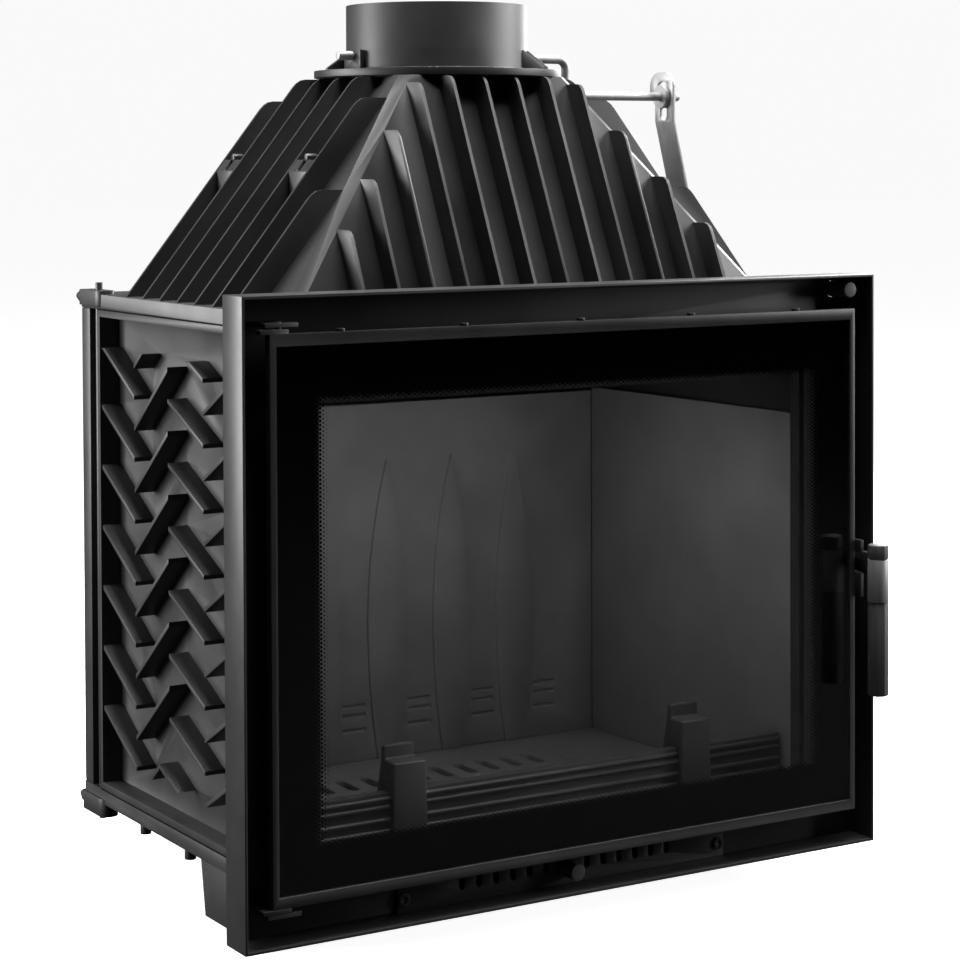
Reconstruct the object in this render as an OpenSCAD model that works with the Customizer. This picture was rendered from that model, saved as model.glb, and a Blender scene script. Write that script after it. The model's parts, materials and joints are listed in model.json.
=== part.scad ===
// Wood-burning fireplace insert with a ribbed smoke hood, a flue damper and a glazed door.
// Lengths are in millimetres. Each module is laid out with x to the right, y going back from
// the front edge of the portal frame and z up from its bottom edge. placed() then moves it so
// that the origin is on the flue axis, in the plane that the insert stands on.

/* [Portal frame and front plate] */
// width of the portal frame
portal_w = 760; // [640:1:900]
// height of the portal frame
portal_h = 620; // [560:1:720]
// depth of the portal frame
portal_d = 42; // [42:1:60]
// sheet thickness of the portal frame
portal_t = 3; // [2:0.5:5]
// thickness of the front plate
front_t = 7; // [5:0.5:10]
// width of the front plate on each side of the fire mouth
mouth_side = 83; // [78:1:110]
// bottom edge of the fire mouth
mouth_low = 61; // [58:1:66]
// how far the top of the fire mouth lies under the top of the portal
mouth_drop = 109; // [105:1:150]
// height of the slanting strip over the mouth
bevel_h = 13; // [6:1:16]
// how far the lip round the mouth stands out
lip_d = 8; // [5:0.5:9]

/* [Air grille] */
// width of the grille plate
grille_w = 398; // [340:1:460]
// thickness of the grille plate
grille_t = 3; // [2:0.5:5]
// width of one air slot
grille_slot_w = 7; // [4:0.5:9]
// distance between two air slots
grille_pitch = 20; // [16:1:24]
// slots on each side of the knob
grille_slots = 6; // [3:1:7]

/* [Casing] */
// how far the side panels lie inside the edge of the portal
case_inset = 50; // [40:1:60]
// length of a side panel from front to back
side_l = 426; // [400:1:460]
// how far the side panels end under the top of the portal
case_drop = 37; // [34:1:60]
// depth of the ribbed recess
recess_d = 22; // [12:1:26]
// thickness of the plate behind the recess
side_t = 5; // [4:0.5:8]
// distance between two ribs of one column
rib_pitch = 66.5; // [50:0.5:90]
// thickness of a rib
rib_t = 4; // [3:0.5:7]
// depth of the back panel
back_d = 45; // [36:1:60]
// thickness of the top plate and of the base plate
deck_t = 16; // [12:1:20]
// diameter of the tie rods
tie_dia = 8; // [6:1:10]

/* [Smoke hood] */
// height of the hood
hood_h = 236.3; // [180:0.1:280]
// how far the hood's flat top reaches past the collar at the sides
hood_top_side = 3.5; // [3:0.1:15]
// how far the hood's flat top reaches past the collar at the front and the back
hood_top_end = 6.7; // [3:0.1:20]
// how far the foot of the hood lies inside the side panels
hood_side_foot = 38; // [36:0.5:80]
// how far the foot of the hood lies behind the front of the casing
hood_front_foot = 32.8; // [30:0.1:60]
// how far the foot of the hood lies in front of the back of the casing
hood_rear_foot = 46; // [30:0.5:90]
// wall of the hood
hood_wall = 5; // [4:0.5:8]
// thickness of a fin
fin_t = 3.6; // [2.4:0.1:5]
// distance between two fins of the front face
front_fin_pitch = 40; // [30:1:50]
// distance between two fins of a side face
side_fin_pitch = 43.5; // [36:0.5:50]
// how far the front fins stand out
front_fin_d = 28; // [15:1:32]
// how far the side fins stand out
side_fin_d = 32.5; // [15:0.5:34]

/* [Flue collar and damper] */
// outer diameter of the flue collar
collar_dia = 200; // [160:1:204]
// wall of the collar
collar_t = 3; // [2:0.5:5]
// height of the collar over its flange
collar_h = 71.5; // [65:0.5:90]
// how far the round flange reaches past the collar
flange_lap = 35.5; // [30:0.5:45]
// thickness of the flange
flange_t = 7.5; // [4:0.5:9]
// distance from the front of the casing to the flue axis
flue_set_back = 247.7; // [230:0.1:260]
// diameter of the damper shaft
shaft_dia = 10; // [8:0.5:12]
// length of the crank on the damper shaft
crank_l = 41; // [36:0.5:42]
// radius of the bends in the damper shaft
crank_bend = 11; // [8:0.5:14]
// thickness of the damper disc
disc_t = 3; // [2:0.5:4]

/* [Door] */
// gap between the edge of the portal and the door at each side
door_inset = 28; // [24:1:40]
// height of the door's lower edge over the bottom of the portal
door_low = 39.5; // [38:0.5:45]
// how far the door ends under the top of the portal
door_drop = 36.5; // [30:0.5:45]
// thickness of the door's outer rim
door_rim_d = 10; // [8:0.5:12]
// width of the rim at the sides
door_rim_side = 7; // [5:0.5:10]
// height of the rim at the top
door_rim_top = 12; // [9:0.5:16]
// height of the rim at the bottom
door_rim_low = 10.5; // [9:0.5:16]
// thickness of the glass
glass_t = 4; // [3:0.5:5]
// width of the rope seal
seal_w = 10; // [6:0.5:12]
// diameter of the hinge pins
pin_dia = 6; // [4:0.5:8]

/* [Handle] */
// diameter of the grip
grip_dia = 22.5; // [18:0.5:30]
// length of the dark grip
grip_l = 101; // [80:1:130]
// length of the bright sleeve
sleeve_l = 45; // [30:1:60]
// length of the dark cap
cap_l = 16; // [10:1:25]
// thickness of the arm
arm_t = 7; // [5:0.5:9]
// height of the arm
arm_h = 22; // [16:1:24]

/* [Knobs] */
// diameter of the damper knob
damper_knob_dia = 16.5; // [12:0.5:20]
// length of the damper knob
damper_knob_l = 36; // [24:1:40]
// diameter of the air knob
air_knob_dia = 17; // [12:0.5:20]
// length of the air knob
air_knob_l = 21.7; // [15:0.1:25]
// diameter of the two control rods
rod_dia = 8; // [6:0.5:10]

/* [Fire chamber] */
// how far the side linings lean in toward the back
lining_lean = 12.7; // [5:0.1:40]
// thickness of the linings
lining_t = 6; // [5:0.5:10]
// how far the side linings end under the top of the side panels
side_lining_drop = 112.7; // [110:0.1:200]
// width of the grate
grate_w = 346; // [260:1:380]
// length of the grate
grate_l = 240; // [180:1:260]
// distance between two slots of the grate
grate_pitch = 30; // [24:1:40]
// height of the log retainer bar
retainer_h = 61.7; // [40:0.1:80]
// distance between the two log posts
post_gap = 350; // [260:1:440]

/* [Ash and air box] */
// how far the sides of the box lie inside the side panels
box_inset = 10; // [4:1:40]
// length of the wide front part at its top
box_l = 161; // [140:1:200]
// height of the box
box_h = 62.7; // [50:0.1:80]
// width of the ash chamber behind it
ash_w = 380; // [320:1:420]
// sheet thickness of the box
box_t = 3; // [2:0.5:5]

/* [Hidden] */
$fn = 48;
// every cut runs past its piece by this much
over = 1;
// gap between two pieces that are bolted or laid together
seat = 0.3;
// gap all round a shaft or pin that turns or slides
running = 0.08;
// gap all round a bolt, rod or tube that passes a clearance hole
loose = 0.5;
half = 1 / 2;

// heights of the stack, from the underside of the base plate up
base_z = 36;
base_top = base_z + deck_t;
side_z = base_top + seat;
side_top = portal_h - case_drop;
side_h = side_top - side_z;
top_z = side_top + seat;
deck_top = top_z + deck_t;
hood_z = deck_top + seat;
hood_top = hood_z + hood_h;
flange_z = hood_top + seat;
collar_z = flange_z + flange_t;
box_z = base_z - seat - box_h;

// places from front to back
portal_back = portal_d;
front_y = portal_back - front_t;
lip_y = front_y - lip_d;
side_y = portal_back + seat;
side_back = side_y + side_l;
back_y = side_back + seat;
back_end = back_y + back_d;
collar_r = collar_dia / 2;
case_w = portal_w - 2 * case_inset;
case_half = case_w / 2;
flue_back = side_y + flue_set_back;
lower_drop = -box_z;

// front plate
plate_half_w = portal_w / 2 - portal_t - seat;
mouth_half = portal_w / 2 - mouth_side;
mouth_top = portal_h - mouth_drop;
bevel_top = mouth_top + bevel_h;
door_hole_margin = 1;
seal_margin = 3;
lip_margin = 2;
lip_w = door_hole_margin + seal_margin + seal_w + lip_margin;
knob_out = 20;
knob_rise = 4.2;
knob_x = case_half + knob_out;
knob_z = deck_top + knob_rise;
knob_hole_gap = 0.75;
window_w = 280;
window_low = 8;
window_top = 34;

// grille
grille_low = portal_t + seat;
grille_top = 37;
grille_first_x = 25;
grille_slot_low = 16;
grille_slot_h = 16;
grille_screw_inset = 7;
grille_screw_x = grille_w / 2 - grille_screw_inset;
grille_screw_z = 17;
screw_r = 6.5;
screw_h = 2.2;
cross_w = 1.8;
cross_l = 8;
cross_d = 1.2;
air_z = 19.5;

// side panels and back panel
side_in = case_half - recess_d - side_t;
rim_front = 7;
rim_back = 6;
rim_deck = 8;
rib_clip_low = 39;
rib_clip_top = 42;
rib_overlap = 1;
rib_low = side_z + rib_clip_low;
rib_meet_share = 0.63;
rib_meet_top_share = 0.75;
// columns from the rear: rear end and front end along the recess
rib_column_shares = [0.986, 0.774, 0.564, 0.354, 0.14, 0];
// height of the first rib of each column, in pitches from the top of the ribbed field
rib_start_shares = [0.03, -0.218, -0.666, -0.747, -0.43];
// rise of a rib for each unit that it goes forward
rib_rise_shares = [-0.567, 0.8, -0.447, 0.55, -0.567];
channel_inset = 14;
channel_d = 22;
back_wall = 5;
tie_inset = 7;
tie_x = case_half - tie_inset;
tie_y = back_y + channel_d * half;
tie_low = 16;
tie_reach = 8.5;
lug_w = 22;
lug_front = 14;
lug_back = 36;
lug_flat = 3;
lug_top_h = 4;
lug_top_drop = 13;
lug_low_drop = 14;
lug_low_lap = 6;
nut_w = 14;
nut_h = 6;
lug_bolt_r = 7.5;
lug_bolt_head = 10;
lug_bolt_end_r = 4.5;
lug_bolt_end = 10;
smoke_hole_side = 60;
smoke_hole_front = 60;
smoke_hole_back = 110;
peg_dia = 12;
peg_h = 16;
peg_inset = 15;
peg_shares = [0.523, 0.793];

// hood
hood_top_half = collar_r + hood_top_side;
hood_front = flue_back - collar_r - hood_top_end;
hood_rear = flue_back + collar_r + hood_top_end;
hood_side_slope = (case_half - hood_side_foot - hood_top_half) / hood_h;
hood_front_slope = (hood_front - side_y - hood_front_foot) / hood_h;
hood_rear_slope = (back_end - hood_rear_foot - hood_rear) / hood_h;
front_chamfer = 10;
rear_chamfer = 3;
fin_embed = 3;
fin_round = 9;
fin_round_shares = [[0, 1], [0.1, 0.5], [0.4, 0.12], [1, 0]];
front_fins = 6;
side_fins = 7;
first_side_fin_lead = 150;
first_side_fin = flue_back - first_side_fin_lead;
front_fin_drop = 13;
side_fin_drop = 25;
rear_fin_drop = 10;
fin_top_gap = 1;
ear_t = 5;
ear_lip = 12.3;
ear_fall = 89;
ear_slot_w = 8;
ear_slot_end = 1;
ear_bolt_r = 4.2;
ear_bolt_head = 12;
ear_bolt_shank = 2.5;
ear_bolt_rise = 2.4;
ear_shares = [1.5, 5.5];

// collar and damper
foot_step = 0.8;
spigot_l = 50;
flange_r = collar_r + flange_lap;
collar_in = collar_r - collar_t;
foot_r = collar_r + foot_step;
foot_h = collar_h - spigot_l;
gusset_t = 5;
gusset_l = 26;
gusset_toe = 4;
gusset_places = [65, 79];
lug_t = 5;
lug_half = 18;
shaft_rise = 15.5;
shaft_z = collar_z + shaft_rise;
shaft_stub = 23.2;
shaft_left = -foot_r - shaft_stub;
crank_out = 66.5;
crank_x = hood_top_half + crank_out;
shaft_r = shaft_dia / 2;
crank_z = shaft_z - crank_l;
lever_lean = 42;
lever_x = knob_x - lever_lean;
crank_past_lever = 19;
crank_end = lever_x + crank_past_lever;
lever_t = 4;
lever_front = 19;
lever_head_w = 46;
lever_neck_w = 35.5;
lever_head_top = 28.7;
lever_head_low = 29;
lever_shoulder = 2;
lever_corner = 17;
lever_slot_w = 13;
lever_slot_low = 28;
lever_slot_top = 18;
lever_hole_r = 11.5;
lever_hole_back = 3;
clamp_w = 16;
clamp_l = 37;
clamp_h = 20;
washer_r = 13.5;
washer_t = 5;
washer_gap = 0.4;
disc_gap = 1;
disc_r = collar_in - disc_gap;
disc_cut_share = 0.54;
disc_angle = 45;
saddle_share = 0.62;
saddle_w = 14;
saddle_t = 3;
flange_screw_r = 5;
flange_screw_h = 1.2;
flange_screw_turn = 58;

// door
door_back = 8;
door_front = door_back - door_rim_d;
door_w = portal_w - 2 * door_inset;
door_half = door_w / 2;
door_top = portal_h - door_drop;
door_h = door_top - door_low;
glass_front = 0;
glass_back = glass_front + glass_t;
door_hole_half = mouth_half + door_hole_margin;
door_hole_low = mouth_low - door_hole_margin;
door_hole_top = bevel_top + door_hole_margin;
channel_back = 20;
seal_lift = 0.3;
hinge_inset = 11;
hinge_x = hinge_inset - door_half;
hinge_y = door_back - door_rim_d * half;
pin_seat = 8;
ear_plate_h = 4.5;
ear_plate_out = 21;
ear_plate_in = 9;
bracket_gap = 2;
bracket_t = 4;
bracket_out = 16;
bracket_in = 19;
pin_stub = 1;
door_screw_shares = [-0.78, -0.39, 0, 0.39, 0.78];
door_screw_r = 4.5;
door_screw_h = 3;

// handle
pivot_out = 10;
pivot_x = door_half + pivot_out;
pivot_y = 14;
grip_out = 2;
grip_x = door_half + grip_out;
grip_y = -38;
grip_rise = 130;
grip_z = door_low + grip_rise;
grip_r = grip_dia / 2;
sleeve_z = grip_z + grip_l + seat;
cap_z = sleeve_z + sleeve_l + seat;
arm_drop = 18;
arm_z = sleeve_z + sleeve_l - arm_drop;
tenon_drop = 6;
tenon_d = 9;
boss_r = 8;
tongue_r = 11;
pivot_r = 3.5;
plate_lug_t = 5;
hang_t = 4;
hang_w = 16;
hang_inset = 18;
hang_x = door_half - hang_inset;
hang_end = door_half + hang_inset;
hang_depth = 14;
hang_ahead = 9;
hang_low = 21;
hang_top = 8;
keeper_w = 14;
keeper_d = 8;
keeper_h = 26;
keeper_inset = 2;
keeper_x = door_half - keeper_inset;

// controls
rod_r = rod_dia / 2;
damper_knob_y = 3;
damper_rod_past = 135;
damper_rod_end = flue_back + damper_rod_past;
guide_t = 5;
guide_half_w = 9;
guide_over = 9;
guide_foot = 26;
guide_lap = 24;
guide_lead = 29.5;
guide_fin_share = 5;
guide_lag = 7.5;
guide_places = [first_side_fin - guide_lead, first_side_fin + guide_fin_share * side_fin_pitch + guide_lag];
air_knob_y = lip_y + lip_d - grille_t - seat - air_knob_l;
air_rod_end = 150;
inlet_w = 210;
valve_lap = 10;
valve_w = inlet_w + 2 * valve_lap;
valve_low = -8;
valve_top = 33;
valve_y = 113;
valve_t = 3;
inlet_low = -5;
inlet_top = 30;
air_guide_y = 128;
air_guide_w = 40;

// fire chamber
floor_z = base_top + seat;
floor_t = 3.7;
floor_top = floor_z + floor_t;
floor_front = side_y + seat;
floor_back = back_y - seat;
grate_set_back = 63.7;
grate_y = side_y + grate_set_back;
grate_t = 6;
grate_ledge = 12;
grate_slot_w = 12;
grate_slot_l = 45;
grate_row_pitch = 58;
grate_rows = 4;
grate_columns = 5;
lining_back_gap = 56.3;
lining_y = side_back - lining_back_gap;
lining_z = floor_top + seat;
back_lining_t = 14;
back_lining_drop = 116.7;
back_lining_top = side_top - back_lining_drop;
leaf_half = 25.5;
leaf_pitch = 86;
leaf_belly = 158.7;
leaf_tip = 345.7;
leaf_root_share = 0.49;
leaf_d = 3;
leaf_steps = 12;
band_groove = 4;
band_d = 2;
band_half = 15;
band_lines = [36, 53, 64];
stay_x = 120;
stay_t = 8;
side_lining_top = side_top - side_lining_drop;
side_lining_front = side_in - seat - lining_t;
side_lining_back = side_lining_front - lining_lean;
baffle_t = 6;
baffle_front = 150;
baffle_front_drop = 37;
baffle_back_drop = 109;
baffle_front_z = side_top - baffle_front_drop;
baffle_back_z = side_top - baffle_back_drop;
rail_w = 11.5;
rail_in = side_in - rail_w;
rail_h = 10;
rail_share = 0.9;
retainer_y = 58;
retainer_t = 12;
retainer_gap = 3.7;
retainer_half = side_lining_front - retainer_gap;
bead_r = 2.5;
bead_shares = [0.38, 0.56, 0.77, 0.9];
post_top_w = 36;
post_low_w = 41;
post_t = 7;
post_h = 106;
post_front_h = 92;
post_front_lift = 14;
post_leg = 26;
pan_side_gap = 40;
pan_w = ash_w - 2 * pan_side_gap;
pan_set_back = 50;
pan_y = grate_y + pan_set_back;
pan_l = 186;
pan_h = 40;
pan_t = 2;
pan_back_gap = 15;
ash_back = pan_y + pan_l + pan_back_gap + box_t;
box_w = case_w - 2 * box_inset;
box_splay = 11;
box_set_back = 26.7;
box_front = side_y + box_set_back;
box_top_z = base_z - seat;
ash_hole_w = grate_w - 2 * grate_ledge;
ash_hole_l = grate_l - 2 * grate_ledge;

black = "#1d1e20";
iron = "#2b2c2e";
steel = "#9a9c9f";
rust = "#57504a";

// moves a piece from the portal's corner to the flue axis and the standing plane
module placed() translate([0, -flue_back, lower_drop]) children();

// a block from one corner to the other
module block(x, y, z) translate([x[0], y[0], z[0]]) cube([x[1] - x[0], y[1] - y[0], z[1] - z[0]]);

// the same piece on both sides of the middle plane
module both_sides() {
  children();
  mirror([1, 0, 0]) children();
}

// stands a drawing of (x, z) up, so that it runs back from y
module from_y(y, depth) translate([0, y + depth, 0]) rotate([90, 0, 0]) linear_extrude(depth)
  children();

// stands a drawing of (y, z) up, so that it runs right from x
module from_x(x, width) translate([x, 0, 0]) rotate([90, 0, 90]) linear_extrude(width) children();

// a round bar along y
module bar_y(x, z, r, y) translate([x, y[1], z]) rotate([90, 0, 0]) cylinder(r = r, h = y[1] - y[0]);

// a round bar along x
module bar_x(y, z, r, x) translate([x[0], y, z]) rotate([0, 90, 0]) cylinder(r = r, h = x[1] - x[0]);

// a rectangle in a drawing
module area(x, y) translate([x[0], y[0]]) square([x[1] - x[0], y[1] - y[0]]);

// an upright slot with round ends, its middle at the origin
module slot_shape(w, l) {
  area([-w / 2, w / 2], [w / 2 - l / 2, l / 2 - w / 2]);
  for (end = [-1, 1]) translate([0, end * (l - w) / 2]) circle(d = w, $fn = 24);
}

// a rectangular ring that stands across y: half width inside and outside, z inside and outside
module ring_y(inner, outer, z_inner, z_outer, y) {
  difference() {
    block([-outer, outer], y, z_outer);
    block([-inner, inner], [y[0] - over, y[1] + over], z_inner);
  }
}

module portal_frame() {
  color(black) placed() ring_y(portal_w / 2 - portal_t, portal_w / 2, [portal_t, portal_h - portal_t],
    [0, portal_h], [0, portal_d]);
}

module front_plate() {
  low = portal_t + seat;
  top = portal_h - portal_t - seat;
  lip_low = mouth_low - lip_w;
  lip_top = bevel_top + lip_w;
  color(iron) placed() {
    difference() {
      block([-plate_half_w, plate_half_w], [front_y, portal_back], [low, top]);
      block([-mouth_half, mouth_half], [front_y - over, portal_back + over], [mouth_low, bevel_top]);
      bar_y(knob_x, knob_z, damper_knob_dia / 2 + knob_hole_gap, [front_y - over, portal_back + over]);
      block([-window_w / 2, window_w / 2], [front_y - over, portal_back + over], [window_low, window_top]);
    }
    ring_y(mouth_half, mouth_half + lip_w, [mouth_low, bevel_top], [lip_low, lip_top], [lip_y, front_y]);
    from_x(-mouth_half, 2 * mouth_half) polygon([[lip_y, bevel_top], [portal_back, mouth_top],
      [portal_back, bevel_top]]);
  }
}

module air_grille() {
  y = front_y - grille_t;
  color(black) placed() difference() {
    block([-grille_w / 2, grille_w / 2], [y, front_y], [grille_low, grille_top]);
    for (side = [-1, 1]) for (i = [0 : grille_slots - 1])
      translate([0, 0, grille_slot_low + grille_slot_h * half])
        from_y(y - over, grille_t + 2 * over) translate([side * (grille_first_x + i * grille_pitch), 0])
          slot_shape(grille_slot_w, grille_slot_h);
    bar_y(0, air_z, rod_r + running, [y - over, front_y + over]);
  }
}

module grille_screws() {
  y = front_y - grille_t - screw_h;
  color(black) placed() both_sides() difference() {
    bar_y(grille_screw_x, grille_screw_z, screw_r, [y, y + screw_h]);
    for (turn = [0, 90]) translate([grille_screw_x, y, grille_screw_z]) rotate([0, turn, 0])
      block([-cross_l / 2, cross_l / 2], [-over, cross_d], [-cross_w / 2, cross_w / 2]);
  }
}

// slanting ribs number k of a column as a drawing of (y, z)
module ribs(y_rear, y_front, start, rise, k) {
  top = side_top - rib_clip_top;
  upright = rib_t * sqrt(1 + rise * rise) / 2;
  climb = (y_rear - y_front) * rise;
  intersection() {
    area([y_front, y_rear], [rib_low, top]);
    for (i = k) translate([0, top + (start - i) * rib_pitch])
      polygon([[y_rear, -upright], [y_rear, upright], [y_front, climb + upright], [y_front, climb - upright]]);
  }
}

// all the ribs of a recess from y_low on, where the lowest rib of the third column starts further
// back and the lowest one of the second column ends there
module rib_field(y_low, y_run) {
  places = [for (share = rib_column_shares) y_low + share * y_run];
  y_meet = y_low + rib_meet_share * y_run;
  start = rib_start_shares[2];
  rise = rib_rise_shares[2];
  low = floor((side_top - rib_clip_top - rib_low) / rib_pitch + start);
  difference() {
    for (c = [0 : len(rib_start_shares) - 1])
      ribs(places[c], places[c + 1], rib_start_shares[c], rib_rise_shares[c],
        [-1 : ceil(side_h / rib_pitch)]);
    area([places[2], y_meet], [rib_low - over, rib_low + rib_meet_top_share * rib_pitch]);
  }
  ribs(y_meet, places[2] - rib_t, start - (y_meet - places[2]) * rise / rib_pitch, rise, low);
}

module side_panel() {
  y_low = side_y + rim_front;
  y_run = side_l - rim_front - rim_back;
  difference() {
    block([side_in, case_half], [side_y, side_back], [side_z, side_top]);
    block([case_half - recess_d, case_half + over], [y_low, y_low + y_run],
      [side_z + rim_deck, side_top - rim_deck]);
  }
  from_x(case_half - recess_d - rib_overlap, recess_d + rib_overlap) rib_field(y_low, y_run);
}

module side_panel_left() {
  color(iron) placed() mirror([1, 0, 0]) side_panel();
}

module side_panel_right() {
  color(iron) placed() side_panel();
}

module back_panel() {
  channel = case_half - channel_inset;
  color(iron) placed() difference() {
    union() {
      block([-channel, channel], [back_y, back_end], [side_z, side_top]);
      block([-case_half, case_half], [back_y + channel_d, back_end], [side_z, side_top]);
    }
    block([-channel + back_wall, channel - back_wall], [back_y - over, back_end - back_wall],
      [side_z + back_wall, side_top - back_wall]);
  }
}

// a lug for a tie rod, rounded at its back round a small flat for its bolt
module tie_lug(z) {
  back = tie_y + lug_back;
  round_y = back + lug_flat - lug_w / 2;
  translate([tie_x, 0, z[0]]) linear_extrude(z[1] - z[0]) {
    area([-lug_w / 2, lug_w / 2], [tie_y - lug_front, round_y]);
    intersection() {
      translate([0, round_y]) circle(d = lug_w);
      area([-lug_w / 2, lug_w / 2], [tie_y, back]);
    }
    translate([0, tie_y - lug_front]) circle(d = lug_w);
  }
}

// the hole for a tie rod, with a pocket for its nut from nut_z up
module tie_hole(z, nut_z) {
  translate([tie_x, tie_y, z[0] - over]) cylinder(r = tie_dia / 2 + seat, h = z[1] - z[0] + 2 * over);
  translate([tie_x, tie_y, nut_z]) cylinder(r = nut_w / 2 + seat, h = nut_h + over);
}

module top_plate() {
  lug_z = [deck_top - lug_top_drop, deck_top + lug_top_h];
  color(iron) placed() difference() {
    union() {
      block([-case_half, case_half], [side_y, back_end], [top_z, deck_top]);
      both_sides() tie_lug(lug_z);
    }
    block([smoke_hole_side - case_half, case_half - smoke_hole_side],
      [side_y + smoke_hole_front, back_end - smoke_hole_back], [top_z - over, deck_top + over]);
    both_sides() tie_hole([top_z, lug_z[1]], lug_z[1] - nut_h);
  }
}

module base_plate() {
  lug_z = [base_z - lug_low_drop, base_z + lug_low_lap];
  ash_y = grate_y + grate_ledge;
  color(iron) placed() difference() {
    union() {
      block([-case_half, case_half], [side_y, back_end], [base_z, base_top]);
      both_sides() tie_lug(lug_z);
    }
    block([-ash_hole_w / 2, ash_hole_w / 2], [ash_y, ash_y + ash_hole_l], [base_z - over, base_top + over]);
    both_sides() tie_hole([lug_z[0], base_top], lug_z[0] - over);
  }
}

module tie_rods() {
  color(black) placed() both_sides() translate([tie_x, tie_y, tie_low])
    cylinder(d = tie_dia, h = deck_top + lug_top_h + tie_reach - tie_low);
}

module tie_nut(z) translate([tie_x, tie_y, z]) difference() {
  cylinder(d = nut_w, h = nut_h, $fn = 6);
  translate([0, 0, -over]) cylinder(r = tie_dia / 2 + seat * half, h = nut_h + 2 * over);
}

module tie_rod_nuts() {
  color(black) placed() both_sides() {
    tie_nut(deck_top + lug_top_h - nut_h + seat);
    tie_nut(base_z - lug_low_drop - seat);
  }
}

module lug_bolts() {
  y = tie_y + lug_back + seat;
  neck = y + lug_bolt_head;
  color(black) placed() both_sides() for (z = [deck_top + (lug_top_h - lug_top_drop) / 2,
    base_z + (lug_low_lap - lug_low_drop) / 2]) {
    bar_y(tie_x, z, lug_bolt_r, [y, neck]);
    bar_y(tie_x, z, lug_bolt_end_r, [y, neck + lug_bolt_end]);
  }
}

module base_pegs() {
  color(iron) placed() both_sides() for (share = peg_shares)
    translate([case_half - peg_inset, side_y + share * side_l, base_z - peg_h])
      cylinder(d = peg_dia, h = peg_h - seat);
}

// the box's outer or inner space, drawn in by a wall
module box_space(wall, roof) {
  back = box_front + box_l;
  z = box_z + wall;
  from_x(-box_w / 2 + wall, box_w - 2 * wall) polygon([[box_front + wall, roof],
    [box_front + box_splay + wall, z], [back - box_splay - wall, z], [back - wall, roof]]);
  block([-ash_w / 2 + wall, ash_w / 2 - wall], [box_front + box_splay + wall, ash_back - wall], [z, roof]);
}

module ash_box() {
  color(iron) placed() difference() {
    box_space(0, box_top_z);
    box_space(box_t, box_top_z + over);
    block([-inlet_w / 2, inlet_w / 2], [box_front - over, box_front + box_splay + box_t + over],
      [inlet_low, inlet_top]);
  }
}

module ash_pan() {
  x = pan_w / 2;
  z = box_z + box_t;
  color(rust) placed() difference() {
    block([-x, x], [pan_y, pan_y + pan_l], [z, z + pan_h]);
    block([-x + pan_t, x - pan_t], [pan_y + pan_t, pan_y + pan_l - pan_t], [z + pan_t, z + pan_h + over]);
  }
}

// half width of the hood's side face and y of its front and rear face at height z
function hood_half(z) = hood_top_half + hood_side_slope * (hood_top - z);
function hood_front_y(z) = hood_front - hood_front_slope * (hood_top - z);
function hood_rear_y(z) = hood_rear + hood_rear_slope * (hood_top - z);

// plan of the hood at height z, drawn in by a wall
function hood_plan(z, wall) = let (x = hood_half(z) - wall, f = hood_front_y(z) + wall,
  r = hood_rear_y(z) - wall) [[-x + front_chamfer, f], [x - front_chamfer, f], [x, f + front_chamfer],
  [x, r - rear_chamfer], [x - rear_chamfer, r], [-x + rear_chamfer, r], [-x, r - rear_chamfer],
  [-x, f + front_chamfer]];

// a pyramid stump between two plans with as many corners
module stump(lower, upper, z) {
  n = len(lower);
  polyhedron(points = concat([for (p = lower) [p[0], p[1], z[0]]], [for (p = upper) [p[0], p[1], z[1]]]),
    faces = concat([[for (i = [0 : n - 1]) i]], [[for (i = [0 : n - 1]) 2 * n - 1 - i]],
      [for (i = [0 : n - 1]) [i, i + n, (i + 1) % n + n, (i + 1) % n]]));
}

// height at which a fin of the front face or of a side face ends
function front_fin_top(x) = min(hood_top - fin_top_gap,
  hood_top - (abs(x) - hood_top_half) / hood_side_slope - front_fin_drop);
function side_fin_top(y) = min(hood_top - fin_top_gap,
  hood_top - (hood_front - y) / hood_front_slope - side_fin_drop,
  hood_top - (y - hood_rear) / hood_rear_slope - rear_fin_drop);

module front_fin(x) {
  top = front_fin_top(x);
  from_x(x - fin_t / 2, fin_t) polygon(concat([[hood_front_y(hood_z) + fin_embed, hood_z],
    [hood_front_y(hood_z) - front_fin_d, hood_z]],
    [for (s = fin_round_shares) [hood_front_y(top - s[1] * fin_round) - front_fin_d + s[0] * fin_round,
      top - s[1] * fin_round]], [[hood_front_y(top) + fin_embed, top]]));
}

module side_fin(y) {
  top = side_fin_top(y);
  from_y(y - fin_t / 2, fin_t) polygon(concat([[hood_half(hood_z) - fin_embed, hood_z],
    [hood_half(hood_z) + side_fin_d, hood_z]],
    [for (s = fin_round_shares) [hood_half(top - s[1] * fin_round) + side_fin_d - s[0] * fin_round,
      top - s[1] * fin_round]], [[hood_half(top) - fin_embed, top]]));
}

module hood() {
  roof = hood_top - hood_wall;
  low = hood_z - over;
  color(iron) placed() {
    difference() {
      stump(hood_plan(hood_z, 0), hood_plan(hood_top, 0), [hood_z, hood_top]);
      stump(hood_plan(low, hood_wall), hood_plan(roof, hood_wall), [low, roof]);
      translate([0, flue_back, roof - over]) cylinder(r = collar_in, h = hood_wall + 2 * over);
    }
    both_sides() {
      for (i = [0 : front_fins - 1]) front_fin((i + half) * front_fin_pitch);
      for (i = [0 : side_fins - 1]) side_fin(first_side_fin + i * side_fin_pitch);
    }
  }
}

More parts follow.
